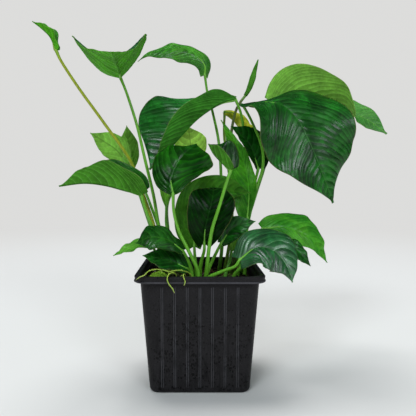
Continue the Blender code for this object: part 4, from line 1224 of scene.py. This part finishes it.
def make_rootstock():
    """The creeping stem, ringed by its leaf scars."""
    count = 150
    points = curve_through(vectors(ROOTSTOCK), count)
    length = length_of(points)
    radii = []
    scars = []
    for i in range(count + 1):
        turn = length * i / count / SCAR_SPACING
        end = min(1.0, ROOTSTOCK_END + 3 * min(i, count - i) / count)
        groove = math.exp(-((turn % 1 - 0.5) / 0.07) ** 2)
        radii.append(ROOTSTOCK_RADIUS * (1 + SCAR_SWELL * math.cos(2 * math.pi * turn) - 0.05 * groove) * end)
        scars.append(groove)
    shell = Shell()
    add_tube(shell, points, radii, 28, 0, 0.10, scar=scars)
    paint = Paint("rootstock_skin", 0.3)
    colour = paint.mix(paint.patches(5 * MM, 4.0, 0.65), *ROOTSTOCK_GREENS)
    colour = paint.mix(paint.band(paint.attribute("scar"), 0.2, 0.8, 0.0, 0.8), colour, SCAR_BROWN)
    streak = paint.noise(1.2 * MM, 4.0, 0.7)
    colour = paint.mix(paint.band(streak, 0.5, 0.7, 0.0, 0.6), colour, STREAK_BROWN)
    skin = paint.skin(colour, paint.band(streak, 0.3, 0.7, 0.5, 0.75), streak, 0.35 * MM, 0.8)
    settle(shell.make("anubias_rootstock", [skin]), "rootstock")


def on_moss(direction, share):
    """A place at a share of the way from the moss's middle to its mound, in one direction."""
    return Vector(MOSS_CENTRE) * MM + Vector([a * b * share for a, b in zip(direction, MOSS_RADII)]) * MM


def make_moss():
    """A clump of moss: a broken mound covered with small leafy shoots."""
    dice = random.Random(4)
    points, faces = ball(4)
    points = [on_moss(p, 0.90 + 0.22 * noise.noise(p * 3.2 + Vector((7, 3, 1)))) for p in points]
    shell = Shell()
    shell.add(points, faces, 0, tip=0.0)
    for _ in range(MOSS_SHOOTS):
        tall = dice.uniform(0.05, 1.0)
        angle = dice.uniform(0, 2 * math.pi)
        ring = math.sqrt(max(0.0, 1 - tall * tall))
        out = Vector((math.cos(angle) * ring, math.sin(angle) * ring, tall))
        foot = on_moss(out, 0.86)
        lean = (out + Vector([dice.uniform(-0.6, 0.6) for _ in range(3)])).normalized()
        reach = dice.uniform(1.2, 2.6) * MM
        bend = Vector([dice.uniform(-0.5, 0.5) for _ in range(2)] + [dice.uniform(-0.2, 0.5)])
        line = [foot, foot + lean * reach * 0.5, foot + (lean + bend * 0.5).normalized() * reach]
        wide = dice.uniform(0.28, 0.5) * MM
        radii = [wide * share for share in (0.6, 1.0, 0.9, 0.6, 0.15)]
        add_tube(shell, curve_through(line, 4), radii, 4, 0, tip=[0.0, 0.3, 0.6, 0.85, 1.0])
    paint = Paint("moss_green", 0.25)
    paint.let_light_through(0.2)
    colour = paint.mix(paint.patches(4 * MM), *MOSS_GREENS)
    colour = paint.mix(paint.band(paint.attribute("tip"), 0.2, 1.0, 0.0, 0.75), colour, MOSS_TIP)
    skin = paint.skin(colour, paint.patches(0.8 * MM, start=0.55, end=0.75))
    settle(shell.make("moss_clump", [skin]), "moss")


def make_air_roots():
    """Three thin roots, each with short side roots."""
    paint = Paint("air_root_skin", 0.35)
    paint.let_light_through(0.2)
    streak = paint.patches(1.4 * MM)
    colour = paint.mix(streak, *ROOT_GREENS)
    colour = paint.mix(paint.band(paint.attribute("tip"), 0.85, 1.0, 0.0, 0.6), colour, ROOT_TIP)
    skin = paint.skin(colour, paint.band(streak, 0.0, 1.0, 0.38, 0.52), streak, 0.1 * MM, 0.6)
    dice = random.Random(9)
    for name, route in AIR_ROOTS.items():
        count = 12 * len(route)
        points = curve_through(vectors(route), count)
        radii = []
        for i in range(count + 1):
            knot = 1 + 0.10 * noise.noise(points[i] / (2.5 * MM))
            end = min(1.0, 0.25 + 12 * (count - i) / count)
            radii.append(ROOT_RADIUS * (1 - ROOT_TAPER * i / count) * knot * end)
        shell = Shell()
        add_tube(shell, points, radii, 12, 0, 0.08, tip=[i / count for i in range(count + 1)])
        for _ in range(3 if name == "air_root_long" else 1):
            at = dice.randrange(count // 3, count * 4 // 5)
            side = Vector([dice.uniform(low, high) for low, high in SIDE_ROOT_LEAN]).normalized()
            line = [points[at], points[at] + side * 1.6 * MM]
            line.append(points[at] + side * 3.0 * MM + Vector((0, 0, -0.5 * MM)))
            thin = [SIDE_ROOT_RADIUS * (1 - 0.08 * i) for i in range(9)]
            add_tube(shell, curve_through(line, 8), thin, 8, 0, tip=[0.9] * 9)
        settle(shell.make(name.replace("air_root", "anubias_root"), [skin]), name)


# Stage


def make_stage():
    """A wide pale floor that fades into the same pale backdrop."""
    floor = bpy.data.meshes.new("floor")
    floor.from_pydata([(-9, -9, 0), (9, -9, 0), (9, 9, 0), (-9, 9, 0)], [], [(0, 1, 2, 3)])
    plane = bpy.data.objects.new("floor", floor)
    bpy.context.scene.collection.objects.link(plane)
    paint = Paint("floor_paper", 0.1)
    paint.skin(PAPER, 0.85)
    away = paint.node("ShaderNodeVectorMath", {0: paint.place()}, operation="LENGTH").outputs["Value"]
    glow = paint.node("ShaderNodeEmission", {"Color": BACKDROP})
    mixed = paint.node("ShaderNodeMixShader", {0: paint.band(away, 0.35, 1.6), 1: paint.shader.outputs[0],
                                               2: glow.outputs[0]})
    paint.feed(paint.tree.nodes["Material Output"].inputs["Surface"], mixed.outputs[0])
    floor.materials.append(paint.material)


def make_lights():
    """An even pale room, seen brighter than it lights and darker in the gloss, a soft lamp overhead,
    a faint one in front, and two windows in front that draw the gleams."""
    world = bpy.data.worlds.new("studio")
    world.use_nodes = True
    nodes, links = world.node_tree.nodes, world.node_tree.links
    room = nodes["Background"]
    room.inputs["Color"].default_value = (*ROOM_LIGHT, 1)
    path = nodes.new("ShaderNodeLightPath")
    shader = room.outputs[0]
    for ray, colour in (("Is Glossy Ray", ROOM_IN_GLOSS), ("Is Camera Ray", BACKDROP)):
        seen = nodes.new("ShaderNodeBackground")
        seen.inputs["Color"].default_value = (*colour, 1)
        mixed = nodes.new("ShaderNodeMixShader")
        links.new(path.outputs[ray], mixed.inputs[0])
        links.new(shader, mixed.inputs[1])
        links.new(seen.outputs[0], mixed.inputs[2])
        shader = mixed.outputs[0]
    links.new(shader, nodes["World Output"].inputs["Surface"])
    bpy.context.scene.world = world
    for name, source, watts, spread, colour, gleams in SUNS:
        light = bpy.data.lights.new(name, "SUN")
        light.energy = watts
        light.angle = math.radians(spread)
        light.color = colour
        lamp = bpy.data.objects.new(name, light)
        lamp.rotation_mode = "QUATERNION"
        lamp.rotation_quaternion = (-Vector(source)).to_track_quat("-Z", "Y")
        lamp.visible_glossy = gleams
        bpy.context.scene.collection.objects.link(lamp)


def make_camera():
    data = bpy.data.cameras.new("camera")
    data.sensor_width = SENSOR_MM
    data.lens = FOCAL_PX / FRAME_PX * SENSOR_MM
    data.shift_x = SHIFT_PX[0] / FRAME_PX
    data.shift_y = SHIFT_PX[1] / FRAME_PX
    camera = bpy.data.objects.new("camera", data)
    camera.location = Vector(CAMERA_AT) * MM
    camera.rotation_euler = (math.radians(90), 0, 0)
    bpy.context.scene.collection.objects.link(camera)
    bpy.context.scene.camera = camera


make_camera()
make_lights()
make_stage()
make_pot()
make_soil()
make_rootstock()
make_moss()
make_air_roots()
for number, leaf in enumerate(LEAVES):
    make_leaf(leaf, number)
make_spear()
bpy.context.scene.view_settings.view_transform = "Standard"
